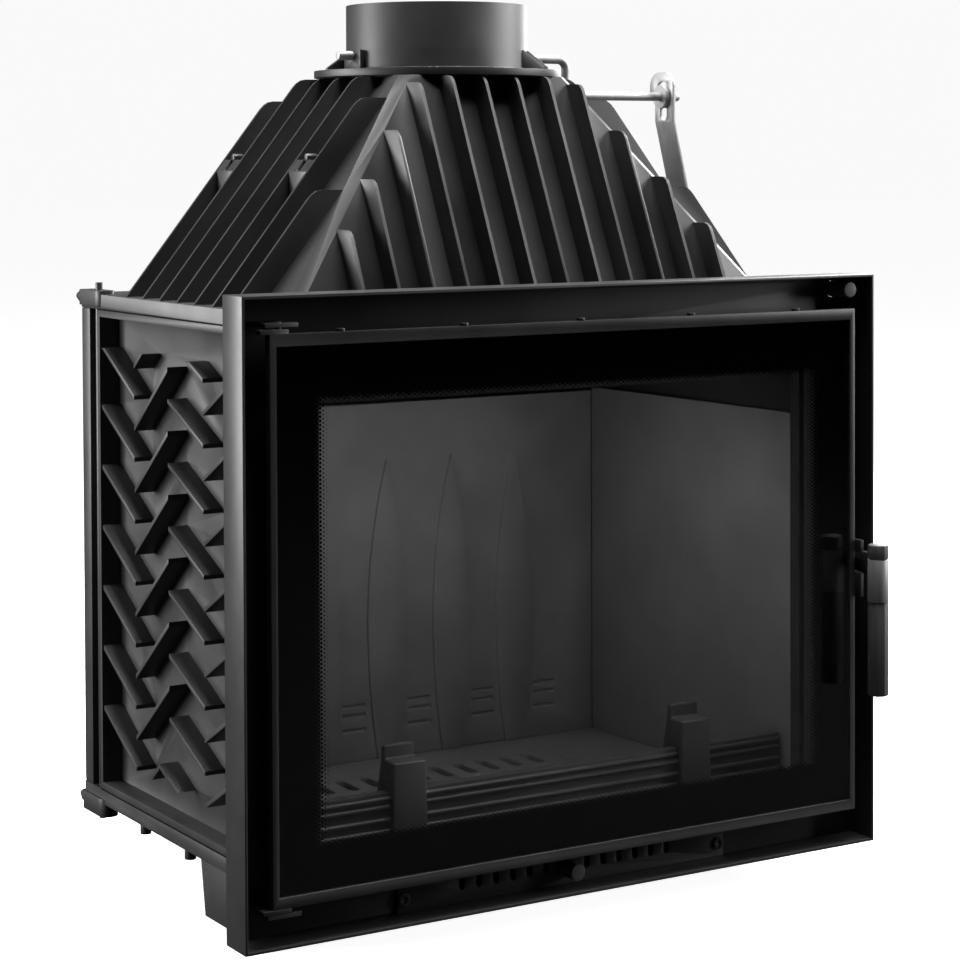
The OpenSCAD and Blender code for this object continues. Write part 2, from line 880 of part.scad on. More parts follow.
// an ear in a bay between two side fins, its middle so many pitches behind the first fin: a
// slotted lip along the fins' outer line and a leg down to the hood
module ear(share) {
  slope = hood_side_slope;
  slant = sqrt(1 + slope * slope);
  w = side_fin_pitch - fin_t - 2 * seat;
  y = first_side_fin + share * side_fin_pitch;
  top = hood_top - ear_fall;
  bend = top - ear_lip;
  x_top = hood_half(top) + side_fin_d;
  x_bend = hood_half(bend) + side_fin_d;
  reach = side_fin_d - seat * slant;
  difference() {
    from_y(y - w / 2, w) polygon([[x_top, top], [x_bend, bend], [x_bend, bend - reach / slope],
      [x_bend - ear_t, bend - (reach - ear_t) / slope], [x_bend - ear_t, bend - ear_t * (slant - 1) / slope],
      [x_top - ear_t * slant, top]]);
    block([x_top - 2 * ear_t * slant, x_bend + over], [y - ear_slot_w / 2, y + ear_slot_w / 2],
      [bend + ear_slot_end, top + over]);
  }
}

module ear_brackets() {
  color(iron) placed() both_sides() for (share = ear_shares) ear(share);
}

module ear_bolts() {
  top = hood_top - ear_fall;
  z = top + ear_bolt_rise;
  start = hood_half(z - ear_bolt_shank) + seat;
  end = hood_half(top) + side_fin_d;
  color(black) placed() both_sides() for (share = ear_shares) {
    y = first_side_fin + share * side_fin_pitch;
    bar_x(y, z, ear_bolt_shank, [start, end - ear_bolt_head]);
    translate([end - ear_bolt_head, y, z]) rotate([0, 90, 0])
      cylinder(r = ear_bolt_r, h = ear_bolt_head, $fn = 6);
  }
}

module flue_collar() {
  color(iron) placed() difference() {
    union() {
      translate([0, flue_back, flange_z]) cylinder(r = collar_r, h = flange_t + collar_h, $fn = 96);
      translate([0, flue_back, flange_z]) cylinder(r = foot_r, h = flange_t + foot_h, $fn = 96);
      translate([0, flue_back, flange_z]) cylinder(r = flange_r, h = flange_t, $fn = 96);
    }
    translate([0, flue_back, flange_z - over])
      cylinder(r = collar_in, h = flange_t + collar_h + 2 * over, $fn = 96);
    bar_x(flue_back, shaft_z, shaft_r + loose, [-foot_r - over, foot_r + over]);
  }
}

// a corner plate that stands on the flange in front of the flue axis, with a low toe
module gusset(ahead) {
  start = sqrt(foot_r * foot_r - ahead * ahead);
  end = start + gusset_l;
  difference() {
    from_y(-ahead - gusset_t / 2, gusset_t) polygon([[start - gusset_t, collar_z], [end, collar_z],
      [end, collar_z + gusset_toe], [start, collar_z + foot_h], [start - gusset_t, collar_z + foot_h]]);
    translate([0, 0, collar_z - over]) cylinder(r = foot_r + seat, h = collar_h, $fn = 96);
  }
}

module collar_gussets() {
  color(iron) placed() translate([0, flue_back, 0]) for (turn = [0, 180], ahead = gusset_places)
    rotate([0, 0, turn]) gusset(ahead);
}

module shaft_lugs() {
  x = foot_r + seat;
  color(iron) placed() both_sides() difference() {
    block([x, x + lug_t], [flue_back - lug_half, flue_back + lug_half], [collar_z, collar_z + foot_h]);
    bar_x(flue_back, shaft_z, shaft_r + running, [x - over, x + lug_t + over]);
  }
}

module collar_screws() {
  color(black) placed() translate([0, flue_back, collar_z]) both_sides() for (side = [-1, 1])
    rotate([0, 0, side * flange_screw_turn]) translate([(foot_r + flange_r) / 2, 0, 0])
      cylinder(r = flange_screw_r, h = flange_screw_h);
}

module hearth_floor() {
  x = side_in - seat;
  y = grate_y - seat;
  color(rust) placed() difference() {
    block([-x, x], [floor_front, floor_back], [floor_z, floor_top]);
    block([-grate_w / 2 - seat, grate_w / 2 + seat], [y, y + grate_l + 2 * seat],
      [floor_z - over, floor_top + over]);
  }
}

module grate() {
  first = grate_y + (grate_l - (grate_rows - 1) * grate_row_pitch) / 2;
  color(rust) placed() difference() {
    block([-grate_w / 2, grate_w / 2], [grate_y, grate_y + grate_l], [floor_z, floor_z + grate_t]);
    for (side = [-1, 1], i = [0 : grate_columns - 1], row = [0 : grate_rows - 1])
      translate([side * (i + half) * grate_pitch, first + row * grate_row_pitch, floor_z - over])
        linear_extrude(grate_t + 2 * over) slot_shape(grate_slot_w, grate_slot_l);
  }
}

// half width of a leaf at height t over the foot of the lining
function leaf_x(t) = leaf_half * (t < leaf_belly ? 1 - leaf_root_share * pow(1 - t / leaf_belly, 2)
  : 1 - pow((t - leaf_belly) / (leaf_tip - leaf_belly), 2));

// a raised leaf with a pointed tip, as a drawing of (x, z)
module leaf() polygon(concat([for (i = [0 : leaf_steps]) let (t = leaf_tip * i / leaf_steps) [leaf_x(t), t]],
  [for (i = [leaf_steps - 1 : -1 : 0]) let (t = leaf_tip * i / leaf_steps) [-leaf_x(t), t]]));

module back_lining() {
  x = side_lining_back;
  color(rust) placed() {
    difference() {
      block([-x, x], [lining_y, lining_y + back_lining_t], [lining_z, back_lining_top]);
      for (i = [-3 : 2], line = band_lines) let (m = (i + half) * leaf_pitch)
        block([m - band_half, m + band_half], [lining_y - over, lining_y + band_d],
          [floor_top + line - band_groove / 2, floor_top + line + band_groove / 2]);
    }
    for (i = [-2 : 2]) translate([i * leaf_pitch, 0, lining_z])
      from_y(lining_y - leaf_d, leaf_d + over) leaf();
    both_sides() block([stay_x, stay_x + stay_t], [lining_y + back_lining_t, floor_back],
      [lining_z, back_lining_top]);
  }
}

module side_lining() {
  translate([0, 0, lining_z]) linear_extrude(side_lining_top - lining_z)
    polygon([[side_lining_front, side_y + seat], [side_lining_front + lining_t, side_y + seat],
      [side_lining_back + lining_t, lining_y - seat], [side_lining_back, lining_y - seat]]);
}

module side_lining_left() {
  color(rust) placed() mirror([1, 0, 0]) side_lining();
}

module side_lining_right() {
  color(rust) placed() side_lining();
}

// a sloping slab under the line of the baffle, as a drawing of (y, z)
module baffle_line(drop, t, share) {
  run = (lining_y - seat - baffle_front) * share;
  fall = (baffle_front_z - baffle_back_z) * share;
  y = lining_y - seat;
  z = baffle_back_z - drop;
  polygon([[y, z], [y, z + t], [y - run, z + fall + t], [y - run, z + fall]]);
}

module baffle() {
  x = side_in - seat;
  color(rust) placed() from_x(-x, 2 * x) baffle_line(0, baffle_t, 1);
}

module baffle_rails() {
  color(rust) placed() both_sides() from_x(rail_in, rail_w) baffle_line(rail_h + seat, rail_h, rail_share);
}

module log_retainer() {
  z = floor_top + seat;
  color(iron) placed() {
    block([-retainer_half, retainer_half], [retainer_y, retainer_y + retainer_t], [z, z + retainer_h]);
    for (share = bead_shares)
      bar_x(retainer_y, z + share * retainer_h, bead_r, [-retainer_half, retainer_half]);
  }
}

// a post that straddles the bar: a plate in front, a bridge over the bar and a leg behind
module log_post() {
  z = floor_top + seat;
  front = retainer_y - bead_r - seat;
  rear = retainer_y + retainer_t + seat;
  bridge = z + retainer_h + seat;
  intersection() {
    from_x(-post_low_w / 2, post_low_w) polygon([[front, z + post_front_lift], [front, bridge], [rear, bridge],
      [rear, z], [rear + post_leg, z], [rear + post_t, z + post_front_h], [rear + post_t, z + post_h],
      [rear, z + post_h], [rear, z + post_front_h], [front - post_t, z + post_front_h],
      [front - post_t, z + post_front_lift]]);
    from_y(0, lining_y) polygon([[-post_low_w / 2, z], [post_low_w / 2, z],
      [post_top_w / 2, z + post_h], [-post_top_w / 2, z + post_h]]);
  }
}

module log_posts() {
  color(iron) placed() for (side = [-1, 1]) translate([side * post_gap / 2, 0, 0]) log_post();
}

module upper_hinge_bracket() {
  z = door_top + ear_plate_h + bracket_gap;
  color(black) placed() difference() {
    block([hinge_x - bracket_out, hinge_x + bracket_in], [door_front, front_y], [z, z + bracket_t]);
    translate([hinge_x, hinge_y, z - over]) cylinder(r = pin_dia / 2 + running, h = bracket_t + 2 * over);
  }
}

module lower_hinge_bracket() {
  z = door_low - ear_plate_h - bracket_t;
  color(black) placed() difference() {
    block([hinge_x - bracket_out, hinge_x + bracket_in], [door_front, front_y], [z, z + bracket_t]);
    translate([hinge_x, hinge_y, z - over]) cylinder(r = pin_dia / 2 + running, h = bracket_t + 2 * over);
  }
}

module latch_keeper() {
  z = arm_z + arm_h / 2;
  color(black) placed() block([keeper_x, keeper_x + keeper_w], [front_y - keeper_d, front_y],
    [z - keeper_h / 2, z + keeper_h / 2]);
}

module rod_guides() {
  color(iron) placed() for (y = guide_places) translate([0, y, 0]) {
    difference() {
      block([case_half - guide_lap, knob_x + guide_half_w], [0, guide_t], [deck_top, knob_z + guide_over]);
      bar_y(knob_x, knob_z, rod_r + running, [-over, guide_t + over]);
    }
    block([case_half - guide_lap, case_half], [0, guide_foot], [deck_top, deck_top + guide_t]);
  }
}

module air_rod_guide() {
  color(iron) placed() difference() {
    block([-air_guide_w / 2, air_guide_w / 2], [air_guide_y - guide_t - over, air_guide_y - over],
      [air_z - guide_over, box_top_z + seat]);
    bar_y(0, air_z, rod_r + running, [air_guide_y - guide_t - 2 * over, air_guide_y]);
  }
}

module door_frame() {
  outer = door_half;
  z_outer = [door_low, door_top];
  z_hole = [door_hole_low, door_hole_top];
  wall = seal_margin + seal_w + lip_margin;
  color(black) placed() difference() {
    union() {
      ring_y(outer - door_rim_side, outer, [door_low + door_rim_low, door_top - door_rim_top], z_outer,
        [door_front, door_back]);
      ring_y(door_hole_half, outer, z_hole, z_outer, [glass_back + seat, door_back]);
      ring_y(door_hole_half, door_hole_half + wall, z_hole, [z_hole[0] - wall, z_hole[1] + wall],
        [door_back, channel_back]);
    }
    translate([hinge_x, hinge_y, door_top - pin_seat]) cylinder(d = pin_dia, h = pin_seat + over);
    translate([hinge_x, hinge_y, door_low - over]) cylinder(d = pin_dia, h = pin_seat + over);
  }
}

module glass() {
  x = door_half - door_rim_side - seat;
  color([0.12, 0.12, 0.13, 0.5]) placed() block([-x, x], [glass_front, glass_back],
    [door_low + door_rim_low + seat, door_top - door_rim_top - seat]);
}

module door_screws() {
  color(black) placed() for (share = door_screw_shares)
    translate([share * door_half, hinge_y, door_top]) cylinder(r = door_screw_r, h = door_screw_h);
}

module door_seal() {
  inner = door_hole_half + seal_margin;
  z = [door_hole_low - seal_margin, door_hole_top + seal_margin];
  color("#3a3936") placed() ring_y(inner, inner + seal_w, z, [z[0] - seal_w, z[1] + seal_w],
    [channel_back, lip_y - seal_lift]);
}

module hinge_pins() {
  top = door_top + ear_plate_h + bracket_gap + bracket_t + pin_stub;
  low = door_low - ear_plate_h - bracket_t - pin_stub;
  color(black) placed() translate([hinge_x, hinge_y, 0]) {
    translate([0, 0, door_top - pin_seat]) cylinder(d = pin_dia, h = top - door_top + pin_seat);
    translate([0, 0, low]) cylinder(d = pin_dia, h = door_low + pin_seat - low);
  }
}

module hinge_ear() {
  color(black) placed() difference() {
    for (z = [[door_top, door_top + ear_plate_h], [door_low - ear_plate_h + seat, door_low]])
      block([hinge_x - ear_plate_out, hinge_x + ear_plate_in], [door_front, door_back], z);
    translate([hinge_x, hinge_y, door_low - ear_plate_h - over])
      cylinder(d = pin_dia, h = door_h + 2 * ear_plate_h + 2 * over);
  }
}

module handle_bracket() {
  z_low = arm_z - seat - plate_lug_t;
  z_top = arm_z + arm_h + seat + plate_lug_t;
  beside = door_half + seat;
  color(black) placed() difference() {
    union() {
      block([hang_x, hang_x + hang_w], [door_back, door_back + hang_t], [z_low, z_top]);
      for (z = [[z_low - hang_low, z_low + plate_lug_t], [z_top - plate_lug_t, z_top + hang_top]])
        block([beside, beside + hang_t], [door_front - hang_ahead, door_back + hang_depth], z);
      for (z = [z_low, z_top - plate_lug_t])
        block([hang_x, hang_end], [door_back, door_back + hang_depth], [z, z + plate_lug_t]);
    }
    translate([pivot_x, pivot_y, z_low - over]) cylinder(r = pivot_r, h = z_top - z_low + 2 * over);
  }
}

module handle_pivot() {
  z_low = arm_z - seat - plate_lug_t;
  color(steel) placed() translate([pivot_x, pivot_y, z_low - pin_stub])
    cylinder(r = pivot_r, h = arm_h + 2 * (seat + plate_lug_t + pin_stub));
}

module handle_arm() {
  near = grip_y + grip_r + seat;
  color(black) placed() difference() {
    union() {
      block([pivot_x - arm_t / 2, pivot_x + arm_t / 2], [near, pivot_y], [arm_z, arm_z + arm_h]);
      block([pivot_x - arm_t / 2, pivot_x + arm_t / 2], [near - tenon_d, near],
        [arm_z + tenon_drop, sleeve_z + sleeve_l - tenon_drop * half]);
      translate([pivot_x, pivot_y, arm_z]) cylinder(r = boss_r, h = arm_h);
      block([pivot_x - arm_t / 2, pivot_x + arm_t / 2], [pivot_y, pivot_y + tongue_r], [arm_z, arm_z + arm_h]);
    }
    translate([pivot_x, pivot_y, arm_z - over]) cylinder(r = pivot_r + running, h = arm_h + 2 * over);
  }
}

module handle_sleeve() {
  near = grip_y + grip_r + seat;
  x = [pivot_x - arm_t / 2 - seat, pivot_x + arm_t / 2 + seat];
  color(steel) placed() difference() {
    translate([grip_x, grip_y, sleeve_z]) cylinder(r = grip_r, h = sleeve_l);
    block(x, [near - tenon_d - seat, near + over],
      [arm_z + tenon_drop - seat, sleeve_z + sleeve_l - tenon_drop * half + seat]);
  }
}

module handle_grip() {
  color("#141416") placed() translate([grip_x, grip_y, grip_z]) cylinder(r = grip_r, h = grip_l, $fn = 8);
}

module handle_cap() {
  color("#141416") placed() translate([grip_x, grip_y, cap_z]) cylinder(r = grip_r, h = cap_l, $fn = 8);
}

module damper_knob() {
  color(black) placed()
    bar_y(knob_x, knob_z, damper_knob_dia / 2, [damper_knob_y, damper_knob_y + damper_knob_l]);
}

module damper_rod() {
  color(steel) placed() bar_y(knob_x, knob_z, rod_r, [damper_knob_y + damper_knob_l, damper_rod_end]);
}

// the lever's head as a drawing of (y, z), with a shoulder behind, a round hole and a slot
module lever_head() {
  y = flue_back - lever_front;
  shoulder = crank_z + lever_shoulder;
  top = crank_z + lever_head_top;
  difference() {
    union() {
      area([y, y + lever_neck_w], [crank_z - lever_head_low, top - lever_corner]);
      area([y, y + lever_head_w], [shoulder, top - lever_corner]);
      area([y + lever_corner, y + lever_head_w - lever_corner], [shoulder, top]);
      for (corner = [lever_corner, lever_head_w - lever_corner])
        translate([y + corner, top - lever_corner]) circle(r = lever_corner);
    }
    translate([flue_back, crank_z + (lever_slot_top - lever_slot_low) / 2])
      slot_shape(lever_slot_w, lever_slot_top + lever_slot_low);
    translate([flue_back + lever_hole_back, crank_z + lever_slot_top - lever_hole_r]) circle(r = lever_hole_r);
  }
}

module damper_lever() {
  x = lever_x - lever_t / 2;
  low = crank_z - lever_head_low;
  foot_x = knob_x - lever_t / 2;
  foot_z = knob_z + clamp_h / 2 - over;
  color(steel) placed() difference() {
    union() {
      from_x(x, lever_t) lever_head();
      from_y(flue_back - lever_front, lever_neck_w) polygon([[x, low + over], [x + lever_t, low + over],
        [x + lever_t, low], [foot_x + lever_t, foot_z], [foot_x, foot_z], [x, low]]);
      block([knob_x - clamp_w / 2, knob_x + clamp_w / 2], [flue_back - clamp_l / 2, flue_back + clamp_l / 2],
        [knob_z - clamp_h / 2, knob_z + clamp_h / 2]);
    }
    bar_y(knob_x, knob_z, rod_r + seat * half,
      [flue_back - clamp_l / 2 - over, flue_back + clamp_l / 2 + over]);
  }
}

// a quarter bend of the shaft in the (x, z) plane, from +x up to +z about the origin
module shaft_bend() rotate([90, 0, 0]) rotate_extrude(angle = 90) translate([crank_bend, 0])
  circle(r = shaft_r);

module damper_shaft() {
  color(steel) placed() {
    bar_x(flue_back, shaft_z, shaft_r, [shaft_left, crank_x - crank_bend]);
    translate([crank_x - crank_bend, flue_back, shaft_z - crank_bend]) shaft_bend();
    translate([crank_x, flue_back, crank_z + crank_bend]) cylinder(r = shaft_r, h = crank_l - 2 * crank_bend);
    translate([crank_x + crank_bend, flue_back, crank_z + crank_bend]) rotate([0, 180, 0]) shaft_bend();
    bar_x(flue_back, crank_z, shaft_r, [crank_x + crank_bend, crank_end]);
  }
}

// turns its children with the disc about the shaft
module on_shaft() translate([0, flue_back, shaft_z]) rotate([disc_angle, 0, 0]) children();

module damper_disc() {
  color(iron) placed() on_shaft() translate([0, 0, -shaft_r - seat - disc_t]) intersection() {
    cylinder(r = disc_r, h = disc_t, $fn = 96);
    block([-disc_r, disc_r], [-disc_r, disc_cut_share * disc_r], [0, disc_t]);
  }
}

module disc_saddles() {
  x = saddle_share * collar_r;
  z = -shaft_r - seat;
  reach = shaft_r + saddle_t;
  color(steel) placed() both_sides() on_shaft() difference() {
    block([x - saddle_w / 2, x + saddle_w / 2], [-reach, reach], [z, reach]);
    bar_x(0, 0, shaft_r + seat * half, [x - saddle_w / 2 - over, x + saddle_w / 2 + over]);
  }
}

module crank_washers() {
  color(steel) placed() for (side = [-1, 1])
    translate([lever_x + side * (lever_t / 2 + washer_gap + washer_t / 2), flue_back, crank_z])
      rotate([0, 90, 0]) difference() {
        cylinder(r = washer_r, h = washer_t, center = true);
        cylinder(r = shaft_r + seat * half, h = washer_t + 2 * over, center = true);
      }
}

module air_knob() {
  color(black) placed() bar_y(0, air_z, air_knob_dia / 2, [air_knob_y, air_knob_y + air_knob_l]);
}

module air_rod() {
  color(steel) placed() bar_y(0, air_z, rod_r, [air_knob_y + air_knob_l, air_rod_end]);
}

module air_valve() {
  color(iron) placed() difference() {
    block([-valve_w / 2, valve_w / 2], [valve_y, valve_y + valve_t], [valve_low, valve_top]);
    bar_y(0, air_z, rod_r + seat * half, [valve_y - over, valve_y + valve_t + over]);
  }
}

portal_frame();
front_plate();
air_grille();
grille_screws();
side_panel_left();
side_panel_right();
back_panel();
top_plate();
base_plate();
tie_rods();
tie_rod_nuts();
lug_bolts();
base_pegs();
ash_box();
ash_pan();
hood();
ear_brackets();
ear_bolts();
flue_collar();
collar_gussets();
shaft_lugs();
collar_screws();
hearth_floor();
grate();
back_lining();
side_lining_left();
side_lining_right();
baffle();
baffle_rails();
log_retainer();
log_posts();
upper_hinge_bracket();
lower_hinge_bracket();
latch_keeper();
rod_guides();
air_rod_guide();
door_frame();
glass();
door_screws();
door_seal();
hinge_pins();
hinge_ear();
handle_bracket();
handle_pivot();
handle_arm();
handle_sleeve();
handle_grip();
handle_cap();
damper_knob();
damper_rod();
damper_lever();
damper_shaft();
damper_disc();
disc_saddles();
crank_washers();
air_knob();
air_rod();
air_valve();
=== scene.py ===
"""Looks of the fireplace insert: finishes, rounded castings, near-black strips that paint the shade in the casing
joints, weld bead, glass print and clips.
"""

from __future__ import annotations

import json
import logging
import math
from dataclasses import dataclass, field
from enum import Enum
from typing import Iterable, Sequence

import bmesh
import bpy
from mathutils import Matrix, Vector


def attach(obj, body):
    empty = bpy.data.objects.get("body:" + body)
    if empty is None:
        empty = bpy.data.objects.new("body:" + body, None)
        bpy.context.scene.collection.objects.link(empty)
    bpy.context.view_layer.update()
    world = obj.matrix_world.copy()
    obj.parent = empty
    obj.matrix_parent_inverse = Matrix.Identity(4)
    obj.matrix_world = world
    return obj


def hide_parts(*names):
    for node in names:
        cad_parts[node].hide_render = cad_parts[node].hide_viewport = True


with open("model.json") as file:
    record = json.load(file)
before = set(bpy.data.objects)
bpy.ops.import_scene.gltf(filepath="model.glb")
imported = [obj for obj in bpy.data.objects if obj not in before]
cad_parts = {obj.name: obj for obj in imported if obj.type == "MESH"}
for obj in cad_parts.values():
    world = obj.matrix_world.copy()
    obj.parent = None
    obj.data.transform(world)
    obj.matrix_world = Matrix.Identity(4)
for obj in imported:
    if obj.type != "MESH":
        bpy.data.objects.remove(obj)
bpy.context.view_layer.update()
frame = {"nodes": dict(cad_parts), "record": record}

LOG = logging.getLogger("fireplace_insert")

MM = 0.001
FLUE_BACK = 0.290
BASE_DROP = 0.027
MERGE_GAP = 2e-6
FLAT_ANGLE = 0.4
ROOT_ANGLE = 40.0
FULL_TURN = 6.28

Point = tuple[float, float, float]
MIDDLE: Point = (0.0, 0.0, 0.5)


class Body(Enum):
    """The rigid bodies that pieces ride on."""

    CASING = "casing"
    DOOR = "door"
    HANDLE = "handle"
    DAMPER_CONTROL = "damper_control"
    DAMPER = "damper"
    AIR_CONTROL = "air_control"


class Slot(Enum):
    """The material slots of the record."""

    CAST_IRON = "cast_iron"
    BLACK_STEEL = "black_steel"
    BLACK_SHEET = "black_sheet"
    CHAMBER_IRON = "chamber_iron"
    BARE_STEEL = "bare_steel"
    FIRE_GLASS = "fire_glass"
    ROPE_SEAL = "rope_seal"
    BLACK_HANDLE = "black_handle"


def place(x: float, y: float, z: float) -> Vector:
    """Turn a place measured from the portal's front corner line, in millimetres, into the row frame.

    Args:
        x: distance to the right of the middle.
        y: distance behind the portal's front edge.
        z: height over the portal's bottom edge.

    Returns:
        The place in metres, from the flue axis and the standing plane.
    """
    return Vector((x * MM, y * MM - FLUE_BACK, z * MM + BASE_DROP))


# Mesh work


def deselect_everything() -> None:
    """Leave no object selected or active, in object mode."""
    if bpy.context.mode != "OBJECT":
        bpy.ops.object.mode_set(mode="OBJECT")
    bpy.ops.object.select_all(action="DESELECT")
    bpy.context.view_layer.objects.active = None


def pick(piece: bpy.types.Object) -> None:
    """Make one piece the only selected and active object.

    Args:
        piece: the object to select.
    """
    deselect_everything()
    piece.select_set(True)
    bpy.context.view_layer.objects.active = piece


def enter_edit(piece: bpy.types.Object, select_all: bool = True) -> None:
    """Open a piece in edit mode.

    Args:
        piece: the object to edit.
        select_all: whether all of its mesh starts selected.
    """
    pick(piece)
    bpy.ops.object.mode_set(mode="EDIT")
    bpy.ops.mesh.select_mode(type="VERT")
    bpy.ops.mesh.select_all(action="SELECT" if select_all else "DESELECT")


def leave_edit() -> None:
    """Go back to object mode."""
    bpy.ops.object.mode_set(mode="OBJECT")


def settle(piece: bpy.types.Object) -> bpy.types.Object:
    """Move a piece's place, turn and scale into its mesh.

    Args:
        piece: the object to settle at the origin.

    Returns:
        The same object.
    """
    pick(piece)
    bpy.ops.object.transform_apply(location=True, rotation=True, scale=True)
    return piece


def bevel_edges(piece: bpy.types.Object, width: float, segments: int = 2, limit: float = 30.0) -> None:
    """Round a piece's sharp edges and apply the rounding.

    Args:
        piece: the object to round.
        width: the bevel's width in metres.
        segments: the steps across the bevel.
        limit: the least angle in degrees between two faces that counts as an edge.
    """
    pick(piece)
    bevel = piece.modifiers.new("rounded_edges", "BEVEL")
    bevel.width = width
    bevel.segments = segments
    bevel.limit_method = "ANGLE"
    bevel.angle_limit = math.radians(limit)
    bevel.use_clamp_overlap = True
    bevel.harden_normals = False
    bpy.ops.object.modifier_apply(modifier=bevel.name)


def smooth(piece: bpy.types.Object, angle: float = 32.0) -> None:
    """Shade a piece smooth across edges flatter than an angle.

    Args:
        piece: the object to shade.
        angle: the largest angle in degrees that is shaded smooth.
    """
    pick(piece)
    bpy.ops.object.shade_smooth_by_angle(angle=math.radians(angle))


def join_pieces(pieces: Sequence[bpy.types.Object], name: str) -> bpy.types.Object:
    """Join several objects into one.

    Args:
        pieces: the objects to join.
        name: the name of the result.

    Returns:
        The joined object.
    """
    deselect_everything()
    for piece in pieces:
        piece.select_set(True)
    bpy.context.view_layer.objects.active = pieces[0]
    if len(pieces) > 1:
        bpy.ops.object.join()
    joined = bpy.context.view_layer.objects.active
    joined.name = name
    joined.data.name = name
    return settle(joined)


def casting_copy(node: str, name: str) -> bpy.types.Object:
    """Copy a CAD node's mesh, merge its loose triangles and join its flat faces.

    Args:
        node: the CAD node to copy.
        name: the name of the copy.

    Returns:
        The copy, unparented, at the origin.
    """
    source = frame["nodes"][node]
    piece = bpy.data.objects.new(name, source.data.copy())
    piece.data.name = name
    bpy.context.scene.collection.objects.link(piece)
    if piece.data.has_custom_normals:
        pick(piece)
        bpy.ops.mesh.customdata_custom_splitnormals_clear()
    enter_edit(piece)
    bpy.ops.mesh.remove_doubles(threshold=MERGE_GAP)
    bpy.ops.mesh.dissolve_limited(angle_limit=math.radians(FLAT_ANGLE))
    leave_edit()
    return piece


def fillet_roots(piece: bpy.types.Object, width: float, least: float = 0.03, segments: int = 2) -> None:
    """Round the long inner corners of a casting, where ribs and fins stand on their plate.

    Args:
        piece: the object to work on.
        width: the fillet's width in metres.
        least: the shortest corner that gets a fillet, in metres.
        segments: the steps across the fillet.
    """
    enter_edit(piece, select_all=False)
    bpy.ops.mesh.select_mode(type="EDGE")
    mesh = bmesh.from_edit_mesh(piece.data)
    count = 0
    for edge in mesh.edges:
        inward = (len(edge.link_faces) == 2 and not edge.is_convex
                  and edge.calc_face_angle() > math.radians(ROOT_ANGLE))
        if inward and edge.calc_length() > least:
            edge.select_set(True)
            count += 1
    bmesh.update_edit_mesh(piece.data)
    if count:
        bpy.ops.mesh.bevel(offset=width, segments=segments, affect="EDGES", clamp_overlap=True)
    leave_edit()
    LOG.info("%s has %d root fillets", piece.name, count)


def soften(node: str, name: str, width: float, segments: int = 2, limit: float = 30.0,
           root: float = 0.0) -> bpy.types.Object:
    """Make a copy of a CAD node with its edges rounded, as a casting or a folded sheet has them.

    Args:
        node: the CAD node to copy.
        name: the name of the copy.
        width: the bevel's width in metres.
        segments: the steps across the bevel.
        limit: the least angle in degrees that is rounded.
        root: the width in metres of fillets in the long inner corners, or 0 for none.

    Returns:
        The rounded copy.
    """
    piece = casting_copy(node, name)
    if root:
        fillet_roots(piece, root)
    bevel_edges(piece, width, segments, limit)
    smooth(piece)
    return piece


# Finishes


def new_group(name: str, inputs: Sequence[tuple[str, str, float]],
              outputs: Sequence[tuple[str, str]]) -> bpy.types.NodeTree:
    """Start a shader node group.

    Args:
        name: the group's name.
        inputs: name, socket type and default of each input.
        outputs: name and socket type of each output.

    Returns:
        The node tree, with its input and output nodes.
    """
    tree = bpy.data.node_groups.new(name, "ShaderNodeTree")
    for label, kind, default in inputs:
        socket = tree.interface.new_socket(label, in_out="INPUT", socket_type=kind)
        if kind == "NodeSocketFloat":
            socket.default_value = default
    for label, kind in outputs:
        tree.interface.new_socket(label, in_out="OUTPUT", socket_type=kind)
    tree.nodes.new("NodeGroupInput").name = "in"
    tree.nodes.new("NodeGroupOutput").name = "out"
    return tree


def add_node(tree: bpy.types.NodeTree, kind: str, **settings: object) -> bpy.types.Node:
    """Add a node and set its properties.

    Args:
        tree: the node tree.
        kind: the node's type name without its prefix.
        **settings: properties of the node.

    Returns:
        The new node.
    """
    node = tree.nodes.new("ShaderNode" + kind)
    for key, value in settings.items():
        setattr(node, key, value)
    return node


def math_node(tree: bpy.types.NodeTree, operation: str, first: object, second: object = 0.0,
              clamp: bool = False) -> bpy.types.NodeSocket:
    """Add a math node fed by sockets or numbers.

    Args:
        tree: the node tree.
        operation: the node's operation.
        first: the first socket or number.
        second: the second socket or number.
        clamp: whether the result is kept from 0 to 1.

    Returns:
        The result socket.
    """
    node = add_node(tree, "Math", operation=operation, use_clamp=clamp)
    for socket, value in zip(node.inputs, (first, second)):
        if isinstance(value, bpy.types.NodeSocket):
            tree.links.new(value, socket)
        else:
            socket.default_value = float(value)
    return node.outputs[0]


def noise_of(tree: bpy.types.NodeTree, scale: object, detail: float, vector: bpy.types.NodeSocket,
             roughness: float = 0.55) -> bpy.types.NodeSocket:
    """Add a noise texture.

    Args:
        tree: the node tree.
        scale: a socket or number for its scale.
        detail: its detail.
        vector: the coordinates that it reads.
        roughness: its roughness.

    Returns:
        The noise value.
    """
    noise = add_node(tree, "TexNoise")
    if isinstance(scale, bpy.types.NodeSocket):
        tree.links.new(scale, noise.inputs["Scale"])
    else:
        noise.inputs["Scale"].default_value = scale
    noise.inputs["Detail"].default_value = detail
    noise.inputs["Roughness"].default_value = roughness
    tree.links.new(vector, noise.inputs["Vector"])
    return noise.outputs["Fac"]


def object_coordinates(tree: bpy.types.NodeTree) -> bpy.types.NodeSocket:
    """Add a texture coordinate node and return its Object socket."""
    return add_node(tree, "TexCoord").outputs["Object"]


